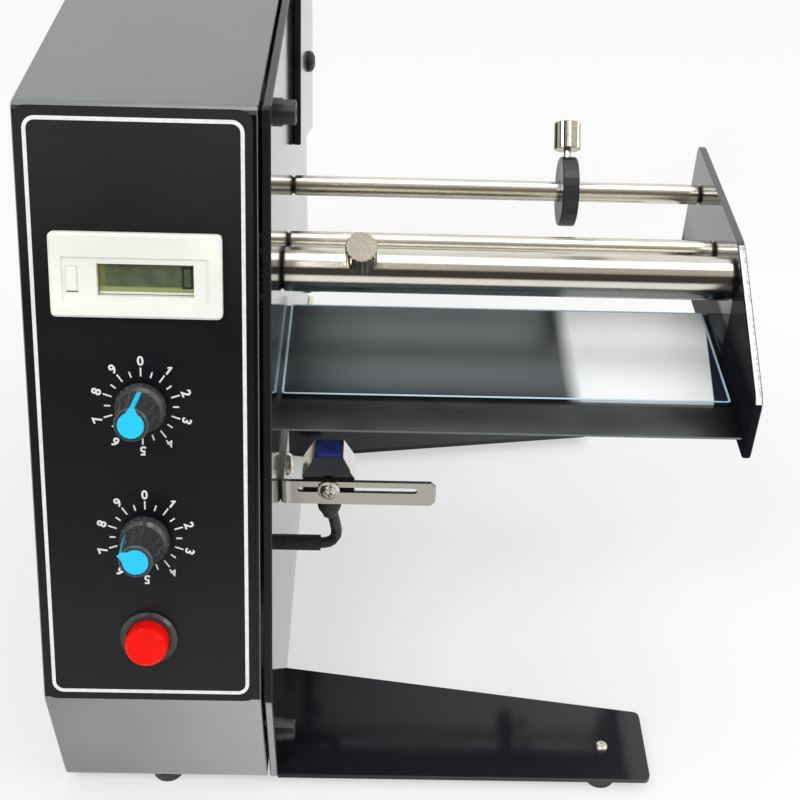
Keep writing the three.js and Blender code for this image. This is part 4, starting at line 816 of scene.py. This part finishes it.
# Knob: a smooth skirt with its shoulder and the grooved cone, as radius and height over the knob's base
KNOB_BASE = 1.6 * MM
KNOB_PROFILE = (mm(7.46, 0.02), mm(7.46, 1.5), mm(7.4, 1.8), mm(7.1, 3.3), mm(6.94, 3.55), mm(6.12, 4.6),
                mm(5.98, 4.85), mm(5.94, 5.1), mm(5.92, 5.4), mm(4.98, 16.2), mm(4.9, 16.5), mm(4.66, 16.9))
GROOVED_FROM, GROOVED_TO = mm(5.2, 16.4)
KNOB_GROOVES = 12
GROOVE_STEPS = 12
GROOVE_DEPTH = 0.12 * MM


def make_knob_skin(name, down, body, material):
    rings = []
    for radius, height in KNOB_PROFILE:
        depth = GROOVE_DEPTH if GROOVED_FROM < height < GROOVED_TO else 0
        flute = [radius - depth] + [radius] * (GROOVE_STEPS - 1)
        rings.append(ring(flute * KNOB_GROOVES, KNOB_BASE + height))
    make_turned(name, rings, dial_centre(down), material, body)


def on_panel(name):
    """The box of a node in the panel's own axes."""
    thing = nodes[name]
    spots = [PANEL_FRAME.inverted() @ thing.matrix_world @ vertex.co for vertex in thing.data.vertices]
    return [tuple(pick(spot[axis] for spot in spots) for axis in range(3)) for pick in (min, max)]


KEY_CORNER = 0.2 * MM
KEY_GAP = 0.28 * MM
KEY_GAP_CORNER = 0.4 * MM
KEY_GAP_DEPTH = 0.35 * MM
KEY_STEPS = 2


def make_key_surround(material):
    """The case's floor in the narrow gap round the reset key."""
    low, high = on_panel("reset_key")
    top = on_panel("counter_case")[1][2] - KEY_GAP_DEPTH
    inner = rounded_outline(low[0], high[0], low[1], high[1], KEY_CORNER, KEY_STEPS)
    outer = rounded_outline(low[0] - KEY_GAP, high[0] + KEY_GAP, low[1] - KEY_GAP, high[1] + KEY_GAP,
                            KEY_GAP_CORNER, KEY_STEPS)
    points, faces = ring_slab(outer, inner, top - INK_HEIGHT, top)
    make_mesh("reset_key_surround", points, faces, material, "frame", PANEL_FRAME)


# Strain relief, as radius and height over the sensor's underside
BOOT_PROFILE = (mm(2.1, -13.0), mm(2.5, -11.8), mm(3.7, -9.6), mm(4.3, -6.8), mm(4.4, -0.05))
BOOT_STEPS = 32


def make_sensor_boot(material):
    """The strain relief where the lead leaves the sensor."""
    low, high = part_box("sensor_body")
    foot = Vector(((low[0] + high[0]) / 2, (low[1] + high[1]) / 2, low[2]))
    rings = [ring([radius] * BOOT_STEPS, height) for radius, height in BOOT_PROFILE]
    make_turned("sensor_boot", rings, Matrix.Translation(foot), material, "label_sensor")


CUT_EDGE_WIDTH = 0.7 * MM
CUT_EDGE_LOW, CUT_EDGE_HIGH = mm(0.02, 0.08)
CUT_EDGE_OUTER_CORNER = 1.2 * MM
CUT_EDGE_INNER_CORNER = 0.7 * MM
CUT_EDGE_STEPS = 4


def make_mirror_edges():
    """The mirror sheet's pale blue cut edge, seen as a thin line round it."""
    low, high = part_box("platform_mirror")
    outer = rounded_outline(low[0], high[0], low[1], high[1], CUT_EDGE_OUTER_CORNER, CUT_EDGE_STEPS)
    inner = rounded_outline(low[0] + CUT_EDGE_WIDTH, high[0] - CUT_EDGE_WIDTH, low[1] + CUT_EDGE_WIDTH,
                            high[1] - CUT_EDGE_WIDTH, CUT_EDGE_INNER_CORNER, CUT_EDGE_STEPS)
    points, faces = ring_slab(outer, inner, high[2] + CUT_EDGE_LOW, high[2] + CUT_EDGE_HIGH)
    edge = plastic("mirror_edge", (0.50, 0.68, 0.80), 0.3, 0.02).material
    make_mesh("mirror_edges", points, faces, edge, "frame")


# Floor, world and light

FLOOR_REACH = 6.0
FLOOR_COLOR = (0.88, 0.88, 0.875)
FLOOR_GLOW = (0.93, 0.935, 0.93)
FLOOR_WHITE_SHARE = 0.6
WHITE = (0.93, 0.94, 0.935)
# What bright metal shows of the side that the camera stands on, and what lights the rest evenly
CAMERA_SIDE = (0.20, 0.17, 0.135)
CAMERA_SIDE_FADE = (-0.8, -0.1)
EVEN_LIGHT = (0.66, 0.665, 0.67)
LIGHT_TARGET = (0.0, 0.0, 0.12)
# Name, place, width and height, and power
LIGHTS = (("key", (-0.55, -0.85, 1.35), (0.7, 0.5), 9),
          ("fill", (1.15, -0.35, 0.9), (0.7, 0.8), 5),
          ("top", (0.15, 0.25, 1.7), (1.3, 0.9), 8))


def make_floor():
    """Pale floor: part of its white is its own, so the shadow on it stays soft."""
    mesh = bpy.data.meshes.new("floor")
    corners = [(x * FLOOR_REACH, y * FLOOR_REACH, 0) for x, y in ((-1, -1), (1, -1), (1, 1), (-1, 1))]
    mesh.from_pydata(corners, [], [(0, 1, 2, 3)])
    floor = bpy.data.objects.new("floor", mesh)
    scene.collection.objects.link(floor)
    material = bpy.data.materials.new("floor")
    material.use_nodes = True
    tree = Tree(material.node_tree)
    shader = tree.nodes["Principled BSDF"]
    shader.inputs["Base Color"].default_value = (*FLOOR_COLOR, 1)
    shader.inputs["Roughness"].default_value = 0.75
    glow = tree.node("ShaderNodeEmission")
    glow.inputs["Color"].default_value = (*FLOOR_GLOW, 1)
    path = tree.node("ShaderNodeLightPath")
    seen = path.outputs["Is Camera Ray"]
    for ray in ("Is Glossy Ray", "Is Transmission Ray"):
        seen = tree.combined("MAXIMUM", seen, path.outputs[ray])
    share = tree.ranged(seen, 0, 1, 0, FLOOR_WHITE_SHARE)
    blend = tree.node("ShaderNodeMixShader")
    tree.link(share, blend.inputs[0])
    tree.link(shader.outputs[0], blend.inputs[1])
    tree.link(glow.outputs[0], blend.inputs[2])
    tree.link(blend.outputs[0], tree.nodes["Material Output"].inputs["Surface"])
    mesh.materials.append(material)


def make_world():
    """White surroundings; the side the camera stands on is darker, as bright metal shows it."""
    world = bpy.data.worlds.new("studio")
    world.use_nodes = True
    tree = Tree(world.node_tree)
    background = tree.nodes["Background"]
    direction = tree.node("ShaderNodeSeparateXYZ")
    tree.link(tree.node("ShaderNodeTexCoord").outputs["Generated"], direction.inputs["Vector"])
    side = tree.ranged(direction.outputs["Y"], *CAMERA_SIDE_FADE, 0, 1, interpolation_type="SMOOTHSTEP")
    path = tree.node("ShaderNodeLightPath")
    around = tree.mixed(side, CAMERA_SIDE, WHITE)
    reflected = tree.mixed(path.outputs["Is Glossy Ray"], EVEN_LIGHT, around)
    seen = tree.combined("MAXIMUM", path.outputs["Is Camera Ray"], path.outputs["Is Transmission Ray"])
    tree.link(tree.mixed(seen, reflected, WHITE), background.inputs["Color"])
    background.inputs["Strength"].default_value = 1.0
    scene.world = world


def make_lights():
    for name, spot, size, power in LIGHTS:
        data = bpy.data.lights.new(name, "AREA")
        data.shape = "RECTANGLE"
        data.size, data.size_y = size
        data.energy = power
        lamp = bpy.data.objects.new(name, data)
        scene.collection.objects.link(lamp)
        lamp.location = spot
        lamp.rotation_euler = (Vector(LIGHT_TARGET) - Vector(spot)).to_track_quat("-Z", "Y").to_euler()


make_camera()
make_floor()
make_world()
make_lights()
materials = make_materials()
dress_nodes(materials)
white_ink = painted_mark("white_ink", (0.78, 0.78, 0.77)).material
dark_ink = painted_mark("display_ink", (0.02, 0.024, 0.018), 0.3).material
make_border(white_ink)
make_dial("length", LENGTH_DIAL_DOWN, white_ink)
make_dial("speed", SPEED_DIAL_DOWN, white_ink)
make_display_figure(dark_ink)
make_key_surround(materials["ivory"])
knob_plastic = plastic("knob_plastic", (0.036, 0.037, 0.037), 0.26, 0.0, Specular_IOR_Level=0.9).material
make_knob_skin("length_knob_skin", LENGTH_DIAL_DOWN, "length_dial", knob_plastic)
make_knob_skin("speed_knob_skin", SPEED_DIAL_DOWN, "speed_dial", knob_plastic)
make_sensor_boot(materials["rubber"])
make_mirror_edges()

scene.view_settings.view_transform = "Standard"
